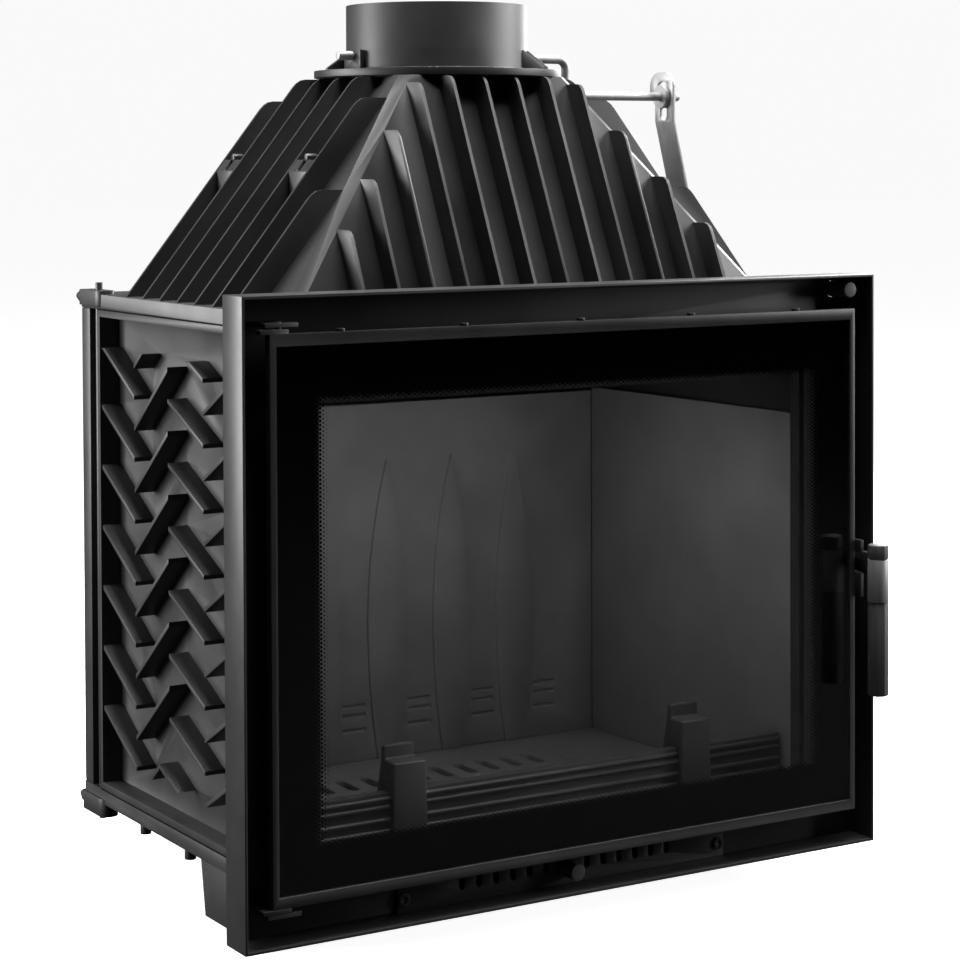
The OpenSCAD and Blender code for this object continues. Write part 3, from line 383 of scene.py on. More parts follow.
def band(tree: bpy.types.NodeTree, value: bpy.types.NodeSocket, low: float, high: float) -> bpy.types.NodeSocket:
    """Map a value so that low gives 0 and high gives 1.

    Args:
        tree: the node tree.
        value: the value to map.
        low: the value that gives 0.
        high: the value that gives 1.

    Returns:
        The mapped value, kept from 0 to 1.
    """
    node = add_node(tree, "MapRange", clamp=True)
    tree.links.new(value, node.inputs["Value"])
    node.inputs["From Min"].default_value = low
    node.inputs["From Max"].default_value = high
    return node.outputs["Result"]


@dataclass
class Effects:
    """Node groups that several finishes share, each built once."""

    built: dict[str, bpy.types.NodeTree] = field(default_factory=dict)
    grain_share: float = 0.6
    wave_share: float = 0.4
    dot_growth: float = 1.4
    dot_reach: float = 1.9
    dot_edge: float = 9.0

    def sand_cast(self) -> bpy.types.NodeTree:
        """Grain of a sand casting: fine pits on soft waves.

        Returns:
            A group with inputs Grain Scale and Wave Scale and outputs Height and Tone.
        """
        if "sand_cast" not in self.built:
            tree = new_group("sand_cast", [("Grain Scale", "NodeSocketFloat", 900.0),
                                           ("Wave Scale", "NodeSocketFloat", 14.0)],
                             [("Height", "NodeSocketFloat"), ("Tone", "NodeSocketFloat")])
            at = object_coordinates(tree)
            source, result = tree.nodes["in"], tree.nodes["out"]
            grain = noise_of(tree, source.outputs["Grain Scale"], 3.0, at)
            waves = noise_of(tree, source.outputs["Wave Scale"], 4.0, at, 0.6)
            height = math_node(tree, "ADD", math_node(tree, "MULTIPLY", grain, self.grain_share),
                               math_node(tree, "MULTIPLY", waves, self.wave_share))
            tree.links.new(height, result.inputs["Height"])
            tree.links.new(band(tree, waves, 0.3, 0.7), result.inputs["Tone"])
            self.built["sand_cast"] = tree
        return self.built["sand_cast"]

    def settled_dust(self) -> bpy.types.NodeTree:
        """Dust on faces that look up.

        Returns:
            A group with input Amount and output Mask.
        """
        if "settled_dust" not in self.built:
            tree = new_group("settled_dust", [("Amount", "NodeSocketFloat", 0.3)], [("Mask", "NodeSocketFloat")])
            at = object_coordinates(tree)
            split = add_node(tree, "SeparateXYZ")
            tree.links.new(add_node(tree, "NewGeometry").outputs["Normal"], split.inputs[0])
            upward = band(tree, split.outputs["Z"], 0.35, 1.0)
            patches = band(tree, noise_of(tree, 22.0, 5.0, at, 0.65), 0.35, 0.75)
            mask = math_node(tree, "MULTIPLY", math_node(tree, "MULTIPLY", upward, patches),
                             tree.nodes["in"].outputs["Amount"], True)
            tree.links.new(mask, tree.nodes["out"].inputs["Mask"])
            self.built["settled_dust"] = tree
        return self.built["settled_dust"]

    def drawn_grain(self) -> bpy.types.NodeTree:
        """Long fine scratches along z, as on drawn or ground steel.

        Returns:
            A group with outputs Height and Tone.
        """
        if "drawn_grain" not in self.built:
            tree = new_group("drawn_grain", [("Grain Scale", "NodeSocketFloat", 260.0)],
                             [("Height", "NodeSocketFloat"), ("Tone", "NodeSocketFloat")])
            mapping = add_node(tree, "Mapping")
            mapping.inputs["Scale"].default_value = (1.0, 1.0, 0.04)
            tree.links.new(object_coordinates(tree), mapping.inputs["Vector"])
            streaks = noise_of(tree, tree.nodes["in"].outputs["Grain Scale"], 4.0, mapping.outputs["Vector"], 0.7)
            tree.links.new(streaks, tree.nodes["out"].inputs["Height"])
            tree.links.new(band(tree, streaks, 0.35, 0.65), tree.nodes["out"].inputs["Tone"])
            self.built["drawn_grain"] = tree
        return self.built["drawn_grain"]

    def printed_dots(self) -> bpy.types.NodeTree:
        """Cover of a black print that ends in rows of shrinking dots toward the clear glass.

        Returns:
            A group with inputs Half Width, Low, High, Side Fade, Fade, Pitch and Squeeze and output Cover.
        """
        if "printed_dots" not in self.built:
            names = ["Half Width", "Low", "High", "Side Fade", "Fade", "Pitch", "Squeeze"]
            tree = new_group("printed_dots", [(n, "NodeSocketFloat", 0.1) for n in names],
                             [("Cover", "NodeSocketFloat")])
            given = tree.nodes["in"].outputs
            split = add_node(tree, "SeparateXYZ")
            tree.links.new(object_coordinates(tree), split.inputs[0])
            x, z = split.outputs["X"], split.outputs["Z"]
            beside = math_node(tree, "SUBTRACT", math_node(tree, "ABSOLUTE", x), given["Half Width"])
            over = math_node(tree, "SUBTRACT", z, given["High"])
            under = math_node(tree, "SUBTRACT", given["Low"], z)
            level = math_node(tree, "DIVIDE", math_node(tree, "MAXIMUM", over, under), given["Fade"])
            depth = math_node(tree, "MAXIMUM", math_node(tree, "DIVIDE", beside, given["Side Fade"]), level, True)
            across = math_node(tree, "MULTIPLY", x, given["Squeeze"])
            rows = [math_node(tree, "SUBTRACT", math_node(tree, "FRACT", math_node(tree, "DIVIDE", c, given["Pitch"])),
                              0.5) for c in (math_node(tree, "ADD", across, z), math_node(tree, "SUBTRACT", across, z))]
            wide = math_node(tree, "DIVIDE", math_node(tree, "ADD", rows[0], rows[1]), given["Squeeze"])
            high = math_node(tree, "SUBTRACT", rows[0], rows[1])
            squares = [math_node(tree, "MULTIPLY", r, r) for r in (wide, high)]
            distance = math_node(tree, "SQRT", math_node(tree, "ADD", squares[0], squares[1]))
            grown = math_node(tree, "POWER", depth, self.dot_growth)
            radius = math_node(tree, "MULTIPLY", grown, self.dot_reach)
            dot = math_node(tree, "MULTIPLY", math_node(tree, "SUBTRACT", radius, distance), self.dot_edge, True)
            tree.links.new(dot, tree.nodes["out"].inputs["Cover"])
            self.built["printed_dots"] = tree
        return self.built["printed_dots"]

    def rope_braid(self) -> bpy.types.NodeTree:
        """Crossing strands of a braided rope.

        Returns:
            A group with outputs Height and Tone.
        """
        if "rope_braid" not in self.built:
            tree = new_group("rope_braid", [("Strand Scale", "NodeSocketFloat", 220.0)],
                             [("Height", "NodeSocketFloat"), ("Tone", "NodeSocketFloat")])
            split = add_node(tree, "SeparateXYZ")
            tree.links.new(object_coordinates(tree), split.inputs[0])
            along = math_node(tree, "ADD", split.outputs["X"], split.outputs["Z"])
            across = math_node(tree, "ADD", along, math_node(tree, "MULTIPLY", split.outputs["Y"], 2.0))
            back = math_node(tree, "SUBTRACT", along, math_node(tree, "MULTIPLY", split.outputs["Y"], 2.0))
            scale = tree.nodes["in"].outputs["Strand Scale"]
            waves = [math_node(tree, "SINE",
                               math_node(tree, "MULTIPLY", c, math_node(tree, "MULTIPLY", scale, FULL_TURN)))
                     for c in (across, back)]
            height = math_node(tree, "MAXIMUM", waves[0], waves[1])
            tree.links.new(height, tree.nodes["out"].inputs["Height"])
            tree.links.new(band(tree, height, -0.3, 1.0), tree.nodes["out"].inputs["Tone"])
            self.built["rope_braid"] = tree
        return self.built["rope_braid"]


EFFECTS = Effects()


def start_material(name: str) -> tuple[bpy.types.Material, bpy.types.NodeTree, bpy.types.Node]:
    """Start a node material.

    Args:
        name: the material's name.

    Returns:
        The material, its node tree and its Principled shader.
    """
    material = bpy.data.materials.new(name)
    material.use_nodes = True
    tree = material.node_tree
    return material, tree, tree.nodes["Principled BSDF"]


def use_group(tree: bpy.types.NodeTree, group: bpy.types.NodeTree, **values: float) -> bpy.types.Node:
    """Place a shared effect in a material.

    Args:
        tree: the material's node tree.
        group: the shared node group.
        **values: input values, with underscores for spaces in their names.

    Returns:
        The group node.
    """
    node = tree.nodes.new("ShaderNodeGroup")
    node.node_tree = group
    for key, value in values.items():
        node.inputs[key.replace("_", " ")].default_value = value
    return node


def mix_colours(tree: bpy.types.NodeTree, mask: bpy.types.NodeSocket, first: object,
                second: object) -> bpy.types.NodeSocket:
    """Mix two colours by a mask.

    Args:
        tree: the node tree.
        mask: 0 gives the first colour and 1 the second.
        first: a colour or socket.
        second: a colour or socket.

    Returns:
        The mixed colour.
    """
    node = add_node(tree, "Mix", data_type="RGBA")
    tree.links.new(mask, node.inputs["Factor"])
    for socket, value in ((node.inputs["A"], first), (node.inputs["B"], second)):
        sockets = [s for s in node.inputs if s.type == "RGBA" and s.name == socket.name]
        target = sockets[0] if sockets else socket
        if isinstance(value, bpy.types.NodeSocket):
            tree.links.new(value, target)
        else:
            target.default_value = (*value, 1.0)
    return [s for s in node.outputs if s.type == "RGBA"][0]


def bump_into(tree: bpy.types.NodeTree, shader: bpy.types.Node, height: bpy.types.NodeSocket, strength: float,
              distance: float) -> None:
    """Feed a height into the shader's normal.

    Args:
        tree: the node tree.
        shader: the Principled shader.
        height: the height value.
        strength: the bump's strength.
        distance: the bump's depth in metres.
    """
    bump = add_node(tree, "Bump")
    bump.inputs["Strength"].default_value = strength
    bump.inputs["Distance"].default_value = distance
    tree.links.new(height, bump.inputs["Height"])
    tree.links.new(bump.outputs["Normal"], shader.inputs["Normal"])


@dataclass(frozen=True)
class StovePaint:
    """Black stove paint over cast or sheet iron."""

    name: str
    dark: tuple[float, float, float]
    light: tuple[float, float, float]
    rough_low: float = 0.42
    rough_high: float = 0.58
    grain: float = 900.0
    bump: float = 0.35
    depth: float = 0.0004
    dust: float = 0.25
    dust_colour: tuple[float, float, float] = (0.11, 0.11, 0.11)
    specular: float = 0.5

    def build(self) -> bpy.types.Material:
        """Build the material."""
        material, tree, shader = start_material(self.name)
        grain = use_group(tree, EFFECTS.sand_cast(), Grain_Scale=self.grain)
        dust = use_group(tree, EFFECTS.settled_dust(), Amount=self.dust)
        paint = mix_colours(tree, grain.outputs["Tone"], self.dark, self.light)
        colour = mix_colours(tree, dust.outputs["Mask"], paint, self.dust_colour)
        tree.links.new(colour, shader.inputs["Base Color"])
        rough = add_node(tree, "MapRange")
        tree.links.new(grain.outputs["Tone"], rough.inputs["Value"])
        rough.inputs["To Min"].default_value = self.rough_low
        rough.inputs["To Max"].default_value = self.rough_high
        tree.links.new(rough.outputs["Result"], shader.inputs["Roughness"])
        shader.inputs["Specular IOR Level"].default_value = self.specular
        bump_into(tree, shader, grain.outputs["Height"], self.bump, self.depth)
        return material


@dataclass(frozen=True)
class PlainSteel:
    """Zinc-plated or ground steel."""

    name: str
    dark: tuple[float, float, float]
    light: tuple[float, float, float]
    rough_low: float = 0.3
    rough_high: float = 0.5
    metal: float = 1.0

    def build(self) -> bpy.types.Material:
        """Build the material."""
        material, tree, shader = start_material(self.name)
        grain = use_group(tree, EFFECTS.drawn_grain())
        colour = mix_colours(tree, grain.outputs["Tone"], self.dark, self.light)
        tree.links.new(colour, shader.inputs["Base Color"])
        shader.inputs["Metallic"].default_value = self.metal
        rough = add_node(tree, "MapRange")
        tree.links.new(grain.outputs["Tone"], rough.inputs["Value"])
        rough.inputs["To Min"].default_value = self.rough_low
        rough.inputs["To Max"].default_value = self.rough_high
        tree.links.new(rough.outputs["Result"], shader.inputs["Roughness"])
        bump_into(tree, shader, grain.outputs["Height"], 0.2, 0.0001)
        return material


@dataclass(frozen=True)
class FireGlass:
    """Clear glass-ceramic pane."""

    name: str
    ior: float = 1.45
    tint: float = 0.93
    shadow_tint: float = 0.86
    haze_scale: float = 18.0
    haze_rough: float = 0.012

    def build(self) -> bpy.types.Material:
        """Build the material."""
        material, tree, shader = start_material(self.name)
        shader.inputs["Transmission Weight"].default_value = 1.0
        shader.inputs["IOR"].default_value = self.ior
        shader.inputs["Base Color"].default_value = (self.tint, self.tint, self.tint, 1.0)
        haze = noise_of(tree, self.haze_scale, 5.0, object_coordinates(tree), 0.6)
        rough = add_node(tree, "MapRange")
        tree.links.new(haze, rough.inputs["Value"])
        rough.inputs["To Min"].default_value = 0.0
        rough.inputs["To Max"].default_value = self.haze_rough
        tree.links.new(rough.outputs["Result"], shader.inputs["Roughness"])
        clear = add_node(tree, "BsdfTransparent")
        clear.inputs["Color"].default_value = (self.shadow_tint, self.shadow_tint, self.shadow_tint, 1.0)
        choice = add_node(tree, "MixShader")
        tree.links.new(add_node(tree, "LightPath").outputs["Is Shadow Ray"], choice.inputs[0])
        tree.links.new(shader.outputs[0], choice.inputs[1])
        tree.links.new(clear.outputs[0], choice.inputs[2])
        tree.links.new(choice.outputs[0], tree.nodes["Material Output"].inputs["Surface"])
        return material


@dataclass(frozen=True)
class GlassPrint:
    """Black enamel on the glass, solid at the rim and dotted toward the middle."""

    name: str
    half_width: float
    low: float
    high: float
    side_fade: float
    fade: float
    pitch: float
    squeeze: float

    def build(self) -> bpy.types.Material:
        """Build the material."""
        material, tree, shader = start_material(self.name)
        dots = use_group(tree, EFFECTS.printed_dots(), Half_Width=self.half_width, Low=self.low, High=self.high,
                         Side_Fade=self.side_fade, Fade=self.fade, Pitch=self.pitch, Squeeze=self.squeeze)
        tone = noise_of(tree, 60.0, 3.0, object_coordinates(tree))
        colour = mix_colours(tree, tone, (0.0006, 0.0006, 0.0006), (0.001, 0.001, 0.001))
        tree.links.new(colour, shader.inputs["Base Color"])
        tree.links.new(dots.outputs["Cover"], shader.inputs["Alpha"])
        shader.inputs["Roughness"].default_value = 0.6
        shader.inputs["Specular IOR Level"].default_value = 0.0
        return material


@dataclass(frozen=True)
class RopeYarn:
    """Grey braided glass-fibre rope."""

    name: str

    def build(self) -> bpy.types.Material:
        """Build the material."""
        material, tree, shader = start_material(self.name)
        braid = use_group(tree, EFFECTS.rope_braid())
        colour = mix_colours(tree, braid.outputs["Tone"], (0.012, 0.012, 0.012), (0.05, 0.05, 0.048))
        tree.links.new(colour, shader.inputs["Base Color"])
        shader.inputs["Roughness"].default_value = 0.9
        bump_into(tree, shader, braid.outputs["Height"], 0.8, 0.0008)
        return material


@dataclass
class Finishes:
    """Every finish of the insert, by material slot."""

    made: dict[Slot, bpy.types.Material] = field(default_factory=dict)
    glass_print: bpy.types.Material | None = None
    # Near-black finish that paints the shade in the gaps between the casing plates.
    joint_shadow: bpy.types.Material | None = None

    def build(self) -> None:
        """Build all the finishes."""
        recipes = {
            Slot.CAST_IRON: StovePaint("stove_paint_on_casting", (0.026, 0.026, 0.0265), (0.036, 0.036, 0.0365),
                                       0.4, 0.5, 1700.0, 0.16, 0.0002, 0.06),
            Slot.BLACK_STEEL: StovePaint("satin_stove_enamel", (0.03, 0.03, 0.0305), (0.038, 0.038, 0.0386),
                                         0.36, 0.44, 1900.0, 0.06, 0.0001, 0.04),
            Slot.BLACK_SHEET: StovePaint("matt_painted_sheet", (0.02, 0.02, 0.0205), (0.028, 0.028, 0.0285),
                                         0.48, 0.58, 1600.0, 0.1, 0.0002, 0.05),
            Slot.CHAMBER_IRON: StovePaint("grey_chamber_iron", (0.17, 0.17, 0.171), (0.22, 0.22, 0.221),
                                          0.6, 0.72, 1100.0, 0.22, 0.0003, 0.05),
            Slot.BARE_STEEL: PlainSteel("plain_steel", (0.42, 0.42, 0.423), (0.5, 0.5, 0.503), 0.42, 0.56, 0.5),
            Slot.FIRE_GLASS: FireGlass("clear_fire_glass"),
            Slot.ROPE_SEAL: RopeYarn("braided_rope"),
            Slot.BLACK_HANDLE: StovePaint("satin_handle_black", (0.09, 0.09, 0.092), (0.12, 0.12, 0.122),
                                          0.36, 0.46, 1600.0, 0.1, 0.0002, 0.0),
        }
        for slot, recipe in recipes.items():
            self.made[slot] = recipe.build()
        # Near-black finish of the joint strips: painted shade of the shadow gaps between the casing plates.
        self.joint_shadow = StovePaint("painted_joint_shadow", (0.002, 0.002, 0.002), (0.004, 0.004, 0.004),
                                 0.85, 0.95, 2200.0, 0.6, 0.0003, 0.0, specular=0.1).build()
        self.glass_print = GlassPrint("black_glass_print", half_width=0.2836, low=place(0, 0, 102).z,
                                      high=place(0, 0, 513).z, side_fade=0.0253, fade=0.013, pitch=0.004,
                                      squeeze=0.62).build()

    @staticmethod
    def coat(piece: bpy.types.Object, material: bpy.types.Material) -> None:
        """Make a material the only one of a piece.

        Args:
            piece: the object to coat.
            material: its material.
        """
        piece.data.materials.clear()
        piece.data.materials.append(material)

    def paint(self, piece: bpy.types.Object, slot: Slot) -> None:
        """Give a piece one finish.

        Args:
            piece: the object to paint.
            slot: the finish.
        """
        self.coat(piece, self.made[slot])

    def paint_nodes(self) -> None:
        """Give every CAD node the finish of its slot."""
        slots = {part["node"]: part["material_slot"] for part in frame["record"]["subparts"]}
        for name, node in frame["nodes"].items():
            material = self.made[Slot(slots[name])]
            for entry in node.material_slots:
                entry.material = material


FINISHES = Finishes()


def dress(piece: bpy.types.Object, body: Body, slot: Slot, replaced: Iterable[str] = ()) -> bpy.types.Object:
    """Paint a finished piece, tie it to its body and hide the nodes that it stands for.

    Args:
        piece: the finished object.
        body: the body that it rides on.
        slot: its finish.
        replaced: CAD nodes that it stands for.

    Returns:
        The same object.
    """
    FINISHES.paint(piece, slot)
    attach(piece, body.value)
    nodes = list(replaced)
    if nodes:
        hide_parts(*nodes)
    LOG.info("%s rides on %s, %d faces", piece.name, body.value, len(piece.data.polygons))
    return piece


@dataclass(frozen=True)
class Softened:
    """A CAD node that is shown with rounded edges."""

    node: str
    body: Body
    slot: Slot
    width: float
    segments: int = 2
    root: float = 0.0

    def build(self) -> bpy.types.Object:
        """Build the rounded copy and dress it."""
        piece = soften(self.node, self.node + "_soft", self.width, self.segments, root=self.root)
        return dress(piece, self.body, self.slot, [self.node])


@dataclass
class Castings:
    """The castings and sheets whose edges are rounded."""

    rows: list[Softened] = field(default_factory=lambda: [
        Softened("portal_frame", Body.CASING, Slot.BLACK_STEEL, 0.0005),
        Softened("front_plate", Body.CASING, Slot.CAST_IRON, 0.0008),
        Softened("side_panel_left", Body.CASING, Slot.CAST_IRON, 0.0008, 2, 0.0025),
        Softened("side_panel_right", Body.CASING, Slot.CAST_IRON, 0.0008, 2, 0.0025),
        Softened("back_panel", Body.CASING, Slot.CAST_IRON, 0.0015),
        Softened("top_plate", Body.CASING, Slot.CAST_IRON, 0.0012),
        Softened("base_plate", Body.CASING, Slot.CAST_IRON, 0.0012),
        Softened("hood", Body.CASING, Slot.CAST_IRON, 0.0008, 2, 0.003),
        Softened("flue_collar", Body.CASING, Slot.CAST_IRON, 0.0005),
        Softened("log_posts", Body.CASING, Slot.CAST_IRON, 0.0022, 3),
        Softened("log_retainer", Body.CASING, Slot.CAST_IRON, 0.001),
        Softened("air_grille", Body.CASING, Slot.BLACK_STEEL, 0.0003),
        Softened("grille_screws", Body.CASING, Slot.BLACK_STEEL, 0.0003),
        Softened("tie_rods", Body.CASING, Slot.BLACK_STEEL, 0.0006),
        Softened("tie_rod_nuts", Body.CASING, Slot.BLACK_STEEL, 0.0006),
        Softened("lug_bolts", Body.CASING, Slot.BLACK_STEEL, 0.0008),
        Softened("base_pegs", Body.CASING, Slot.CAST_IRON, 0.0008),
        Softened("ash_box", Body.CASING, Slot.BLACK_SHEET, 0.0006),
        Softened("ash_pan", Body.CASING, Slot.BLACK_SHEET, 0.0006),
        Softened("ear_brackets", Body.CASING, Slot.CAST_IRON, 0.0006),
        Softened("ear_bolts", Body.CASING, Slot.BLACK_STEEL, 0.0005),
        Softened("collar_gussets", Body.CASING, Slot.CAST_IRON, 0.0006),
        Softened("shaft_lugs", Body.CASING, Slot.CAST_IRON, 0.0006),
        Softened("collar_screws", Body.CASING, Slot.BLACK_STEEL, 0.0003),
        Softened("hearth_floor", Body.CASING, Slot.CHAMBER_IRON, 0.0008),
        Softened("grate", Body.CASING, Slot.CHAMBER_IRON, 0.0012),
        Softened("back_lining", Body.CASING, Slot.CHAMBER_IRON, 0.0012),
        Softened("side_lining_left", Body.CASING, Slot.CHAMBER_IRON, 0.001),
        Softened("side_lining_right", Body.CASING, Slot.CHAMBER_IRON, 0.001),
        Softened("baffle", Body.CASING, Slot.CHAMBER_IRON, 0.001),
        Softened("baffle_rails", Body.CASING, Slot.CAST_IRON, 0.0008),
        Softened("upper_hinge_bracket", Body.CASING, Slot.BLACK_STEEL, 0.0005),
        Softened("lower_hinge_bracket", Body.CASING, Slot.BLACK_STEEL, 0.0005),
        Softened("latch_keeper", Body.CASING, Slot.BLACK_STEEL, 0.0006),
        Softened("rod_guides", Body.CASING, Slot.CAST_IRON, 0.0008),
        Softened("air_rod_guide", Body.CASING, Slot.CAST_IRON, 0.0006),
        Softened("door_screws", Body.DOOR, Slot.BLACK_STEEL, 0.0006),
        Softened("door_seal", Body.DOOR, Slot.ROPE_SEAL, 0.003, 3),
        Softened("hinge_pins", Body.DOOR, Slot.BLACK_STEEL, 0.0006),
        Softened("hinge_ear", Body.DOOR, Slot.BLACK_STEEL, 0.0006),
        Softened("handle_bracket", Body.DOOR, Slot.BLACK_STEEL, 0.0006),
        Softened("handle_pivot", Body.DOOR, Slot.BARE_STEEL, 0.0005),
        Softened("handle_arm", Body.HANDLE, Slot.BLACK_STEEL, 0.0008),
        Softened("handle_sleeve", Body.HANDLE, Slot.BARE_STEEL, 0.0005),
        Softened("handle_grip", Body.HANDLE, Slot.BLACK_HANDLE, 0.0011, 3),
        Softened("handle_cap", Body.HANDLE, Slot.BLACK_HANDLE, 0.0016, 3),
        Softened("damper_knob", Body.DAMPER_CONTROL, Slot.BLACK_HANDLE, 0.0009, 3),
        Softened("damper_rod", Body.DAMPER_CONTROL, Slot.BARE_STEEL, 0.0009),
        Softened("damper_shaft", Body.DAMPER, Slot.BARE_STEEL, 0.0012, 3),
        Softened("damper_disc", Body.DAMPER, Slot.CAST_IRON, 0.0006),
        Softened("disc_saddles", Body.DAMPER, Slot.BARE_STEEL, 0.0004),
        Softened("air_knob", Body.AIR_CONTROL, Slot.BLACK_HANDLE, 0.0009, 3),
        Softened("air_rod", Body.AIR_CONTROL, Slot.BARE_STEEL, 0.0008),
        Softened("air_valve", Body.AIR_CONTROL, Slot.CAST_IRON, 0.0006),
        Softened("door_frame", Body.DOOR, Slot.BLACK_STEEL, 0.0006),
        Softened("damper_lever", Body.DAMPER_CONTROL, Slot.BARE_STEEL, 0.0006),
    ])

    def build(self) -> None:
        """Build every rounded copy."""
        for row in self.rows:
            row.build()


@dataclass(frozen=True)
class PaintedShadowSeams:
    """Near-black strips that paint the shade in the joint gaps between the side panels and the top and base plates."""

    case_half: float = 330.0
    front: float = 44.0
    rear: float = 468.0
    heights: tuple[float, ...] = (583.15, 52.15)
    width: float = 1.7
    proud: float = 0.35
    cuts: int = 70
    wobble: float = 0.00012
    seed: int = 3
    least_run: float = 0.1

    def line(self, side: int, height: float) -> bpy.types.Object:
        """Model one painted shadow line in a joint as an uneven, rounded strip.

        Args:
            side: -1 for the left side of the casing and 1 for the right.
            height: the joint's height over the portal's bottom edge.

        Returns:
            The strip, with its place in its mesh.
        """
        deselect_everything()
        bpy.ops.mesh.primitive_cube_add(size=1.0)
        strip = bpy.context.active_object
        strip.name = f"painted_shadow_seam_{'left' if side < 0 else 'right'}_{round(height)}"
        strip.scale = (2 * self.proud * MM, (self.rear - self.front) * MM, self.width * MM)
        strip.location = place(side * self.case_half, (self.front + self.rear) / 2, height)
        settle(strip)
        enter_edit(strip)
        bpy.ops.mesh.select_mode(type="EDGE")
        bpy.ops.mesh.select_all(action="DESELECT")
        for edge in bmesh.from_edit_mesh(strip.data).edges:
            edge.select_set(abs(edge.verts[0].co.y - edge.verts[1].co.y) > self.least_run)
        bpy.ops.mesh.subdivide(number_cuts=self.cuts)
        bpy.ops.mesh.select_all(action="SELECT")
        bpy.ops.transform.vertex_random(offset=self.wobble, seed=self.seed)
        leave_edit()
        smooth(strip, 60.0)
        return strip

    def build(self) -> None:
        """Build every painted shadow line in the joints."""
        for side in (-1, 1):
            for height in self.heights:
                strip = dress(self.line(side, height), Body.CASING, Slot.CAST_IRON)
                # The strips take the near-black finish: painted shade in the joint gaps.
                FINISHES.coat(strip, FINISHES.joint_shadow)


@dataclass(frozen=True)
class WeldBead:
    """A weld bead round the foot of the flue collar, on its flange."""

    flue_axis_y: float = 290.0
    height: float = 844.9
    radius: float = 101.0
    bead: float = 1.3
    round_steps: int = 180
    section_steps: int = 10
    wobble: float = 0.00018
    seed: int = 7

    def build(self) -> bpy.types.Object:
        """Model the bead as a rippled ring at the foot of the collar."""
        deselect_everything()
        bpy.ops.mesh.primitive_torus_add(major_segments=self.round_steps, minor_segments=self.section_steps,
                                         major_radius=self.radius * MM, minor_radius=self.bead * MM)
        bead = bpy.context.active_object
        bead.name = "collar_weld_bead"
        bead.location = place(0.0, self.flue_axis_y, self.height)
        settle(bead)
        enter_edit(bead)
        bpy.ops.transform.vertex_random(offset=self.wobble, seed=self.seed)
        leave_edit()
        smooth(bead, 70.0)
        return dress(bead, Body.CASING, Slot.CAST_IRON)


@dataclass
class Door:
    """The glazed door: the print on its glass and the tabs on the back of its frame."""

    print_half: float = 344.5
    print_low: float = 50.5
    print_high: float = 571.0
    clear_half: float = 276.0
    clear_low: float = 109.0
    clear_high: float = 506.0
    print_y: float = 4.12
    clip_y: float = 8.0
    clip_width: float = 16.0
    clip_thick: float = 1.5
    clip_height: float = 9.0
    clip_stand: float = 0.8
    clip_inset: float = 0.0012
    clip_rise: float = 0.0003
    clip_round: float = 0.0003
    head_radius: float = 3.2
    head_stand: float = 1.9
    head_squash: float = 0.45
    clip_columns: tuple[float, ...] = (-200.0, 0.0, 200.0)
    clip_rows: tuple[float, ...] = (556.0, 47.0)

    def glass_clip(self, number: int, x: float, z: float) -> bpy.types.Object:
        """Model one clip on the back of the door frame: a tab with a round screw head.

        Args:
            number: the clip's number.
            x: the clip's middle from the middle of the door.
            z: the clip's height.

        Returns:
            The finished clip.
        """
        deselect_everything()
        bpy.ops.mesh.primitive_cube_add(size=1.0)
        tab = bpy.context.active_object
        tab.scale = (self.clip_width * MM, self.clip_thick * MM, self.clip_height * MM)
        tab.location = place(x, self.clip_y + self.clip_stand, z)
        settle(tab)
        enter_edit(tab, select_all=False)
        bpy.ops.mesh.select_mode(type="FACE")
        for face in bmesh.from_edit_mesh(tab.data).faces:
            face.select_set(face.normal.y > 0.9)
        bpy.ops.mesh.inset(thickness=self.clip_inset)
        bpy.ops.mesh.extrude_region_move(TRANSFORM_OT_translate={"value": (0.0, self.clip_rise, 0.0)})
        leave_edit()
        bevel_edges(tab, self.clip_round)
        deselect_everything()
        bpy.ops.mesh.primitive_uv_sphere_add(segments=16, ring_count=8, radius=self.head_radius * MM)
        head = bpy.context.active_object
        head.scale = (1.0, self.head_squash, 1.0)
        head.location = place(x, self.clip_y + self.head_stand, z)
        settle(head)
        clip = join_pieces([tab, head], f"glass_clip_{number}")
        smooth(clip)
        return dress(clip, Body.DOOR, Slot.BARE_STEEL)

    def glass_print(self) -> bpy.types.Object:
        """Model the printed border as a thin sheet behind the glass.

        Returns:
            The finished sheet.
        """
        deselect_everything()
        middle = (self.print_low + self.print_high) / 2
        bpy.ops.mesh.primitive_plane_add(size=1.0, location=place(0, self.print_y, middle),
                                         rotation=(math.radians(90), 0, 0))
        sheet = bpy.context.active_object
        sheet.name = "glass_print"
        sheet.scale = (2 * self.print_half * MM, (self.print_high - self.print_low) * MM, 1.0)
        settle(sheet)
        enter_edit(sheet)
        bpy.ops.mesh.inset(thickness=(self.print_half - self.clear_half) * MM)
        bpy.ops.mesh.delete(type="FACE")
        leave_edit()
        for corner in sheet.data.vertices:
            if abs(corner.co.x) < (self.print_half - 1) * MM:
                high = corner.co.z > place(0, 0, middle).z
                corner.co.z = place(0, 0, self.clear_high if high else self.clear_low).z
        dress(sheet, Body.DOOR, Slot.FIRE_GLASS)
        FINISHES.coat(sheet, FINISHES.glass_print)
        return sheet

    def build(self) -> None:
        """Build the door's pieces."""
        self.glass_print()
        places = [(x, z) for z in self.clip_rows for x in self.clip_columns]
        for number, (x, z) in enumerate(places):
            self.glass_clip(number, x, z)


@dataclass(frozen=True)
class SoftBox:
    """One soft light of the studio."""

    name: str
    at: Point
    aim: Point
    width: float
    height: float
    power: float
    seen: bool = True

    def hang(self) -> None:
        """Hang the light, facing its aim."""
        data = bpy.data.lights.new(self.name, "AREA")
        data.shape = "RECTANGLE"
        data.size = self.width
        data.size_y = self.height
        data.energy = self.power
        lamp = bpy.data.objects.new(self.name, data)
        bpy.context.scene.collection.objects.link(lamp)
        lamp.location = self.at
        lamp.rotation_euler = (Vector(self.aim) - Vector(self.at)).to_track_quat("-Z", "Y").to_euler()
        lamp.visible_camera = False
        lamp.visible_transmission = False
        lamp.visible_glossy = self.seen


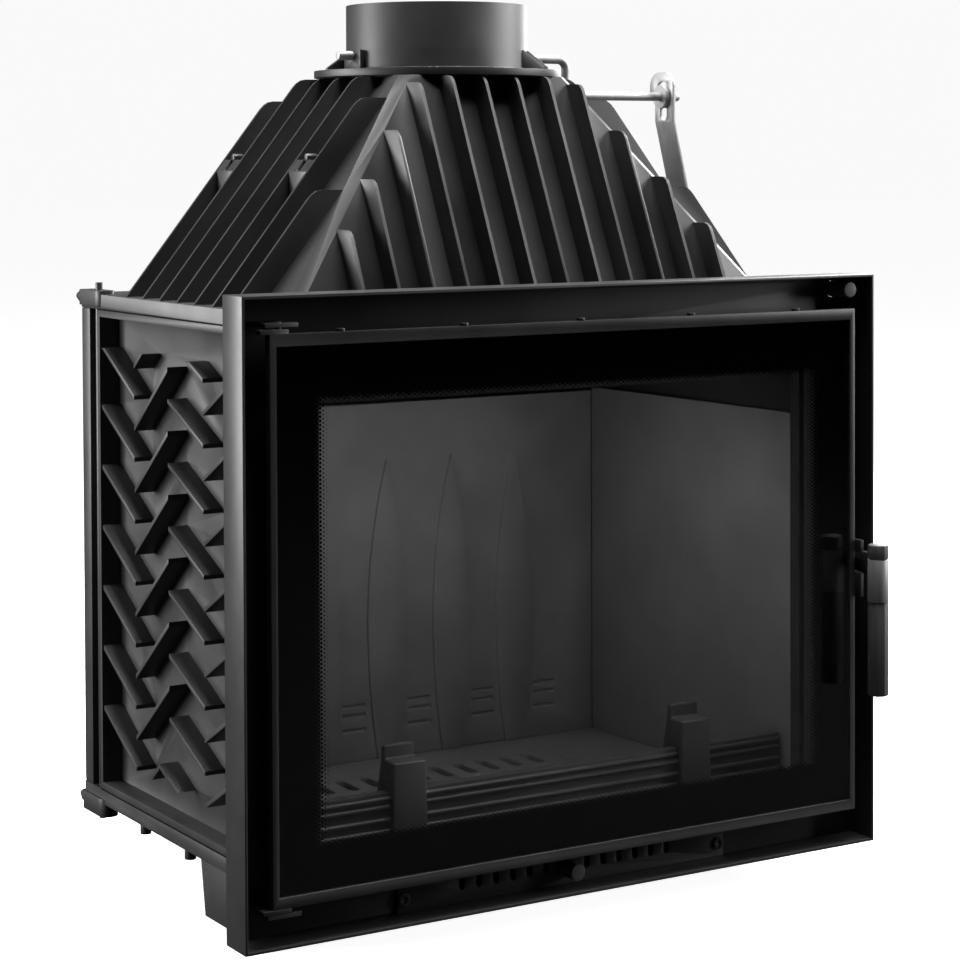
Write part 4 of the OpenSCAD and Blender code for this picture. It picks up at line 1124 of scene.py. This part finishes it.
@dataclass(frozen=True)
class Studio:
    """The floor, the lights and the camera of the photograph.

    The floor and the room are white to the camera only. To every other ray they are nearly black, so the
    glass doesn't mirror them. The chamber lamp is inside the fire chamber and isn't seen in reflections.
    """

    camera_at: Point = (-1.40008, -2.40712, 0.77871)
    camera_turn: tuple[float, float, float] = (88.54, 0.22, -31.16)
    lens: float = 94.32
    sensor: float = 36.0
    shift_y: float = -0.2724
    floor_size: float = 60.0
    room_light: float = 0.004
    floor_bounce: float = 0.01
    paper_white: float = 0.95
    floor_lift: float = 0.95
    boxes: tuple[SoftBox, ...] = (
        SoftBox("rear_left_box", (-2.7, 1.9, 1.2), MIDDLE, 1.0, 2.0, 108.0),
        SoftBox("left_side_box", (-3.2, 0.9, 0.7), (0.0, 0.0, 0.3), 0.8, 0.9, 42.0),
        SoftBox("roof_box", (0.0, 0.4, 3.4), MIDDLE, 1.6, 1.0, 110.0),
        SoftBox("front_roof_box", (0.4, -1.0, 3.8), MIDDLE, 1.6, 1.0, 105.0),
        SoftBox("right_high_box", (2.8, -0.3, 2.6), MIDDLE, 1.0, 1.4, 170.0),
        SoftBox("rear_right_box", (2.6, 1.6, 1.6), MIDDLE, 1.0, 2.0, 65.0),
        SoftBox("right_front_box", (3.0, -1.6, 1.4), MIDDLE, 1.0, 2.0, 52.0),
        SoftBox("chamber_lamp", (-0.05, -0.17, 0.49), (0.05, 0.1, 0.2), 0.45, 0.08, 0.44, False),
    )

    def floor(self) -> None:
        """Lay a plain pale floor under the insert, pale to the camera and dark in the glass."""
        deselect_everything()
        bpy.ops.mesh.primitive_plane_add(size=self.floor_size, location=(0.0, 0.0, -0.0005))
        floor = bpy.context.active_object
        floor.name = "floor"
        settle(floor)
        material, tree, shader = start_material("pale_floor")
        shader.inputs["Roughness"].default_value = 0.9
        shader.inputs["Specular IOR Level"].default_value = 0.1
        tone = mix_colours(tree, noise_of(tree, 3.0, 2.0, object_coordinates(tree)), (0.84, 0.84, 0.84),
                           (0.86, 0.86, 0.86))
        seen = add_node(tree, "LightPath").outputs["Is Camera Ray"]
        tree.links.new(mix_colours(tree, seen, (self.floor_bounce,) * 3, tone), shader.inputs["Base Color"])
        shader.inputs["Emission Color"].default_value = (1.0, 1.0, 1.0, 1.0)
        lift = math_node(tree, "MULTIPLY", seen, self.floor_lift)
        tree.links.new(lift, shader.inputs["Emission Strength"])
        floor.data.materials.append(material)

    def room(self) -> None:
        """Light the room dimly and show it as white paper to the camera."""
        world = bpy.data.worlds.new("studio")
        world.use_nodes = True
        tree = world.node_tree
        dim = tree.nodes["Background"]
        dim.inputs["Color"].default_value = (1.0, 1.0, 1.0, 1.0)
        dim.inputs["Strength"].default_value = self.room_light
        paper = add_node(tree, "Background")
        paper.inputs["Color"].default_value = (1.0, 1.0, 1.0, 1.0)
        paper.inputs["Strength"].default_value = self.paper_white
        choice = add_node(tree, "MixShader")
        tree.links.new(add_node(tree, "LightPath").outputs["Is Camera Ray"], choice.inputs[0])
        tree.links.new(dim.outputs[0], choice.inputs[1])
        tree.links.new(paper.outputs[0], choice.inputs[2])
        tree.links.new(choice.outputs[0], tree.nodes["World Output"].inputs["Surface"])
        bpy.context.scene.world = world

    def camera(self) -> None:
        """Set up the camera."""
        data = bpy.data.cameras.new("photo_camera")
        data.lens = self.lens
        data.sensor_width = self.sensor
        data.shift_y = self.shift_y
        data.clip_end = 100.0
        camera = bpy.data.objects.new("photo_camera", data)
        bpy.context.scene.collection.objects.link(camera)
        camera.location = self.camera_at
        camera.rotation_euler = tuple(math.radians(angle) for angle in self.camera_turn)
        bpy.context.scene.camera = camera

    def build(self) -> None:
        """Set up the floor, the room, the lights and the camera."""
        self.floor()
        self.room()
        for box in self.boxes:
            box.hang()
        self.camera()
        bpy.context.scene.view_settings.view_transform = "Standard"


def main() -> None:
    """Build the dressed insert and its studio."""
    logging.basicConfig(level=logging.INFO, format="%(message)s")
    FINISHES.build()
    FINISHES.paint_nodes()
    Studio().build()
    Castings().build()
    PaintedShadowSeams().build()
    WeldBead().build()
    Door().build()


if __name__ == "__main__":
    main()
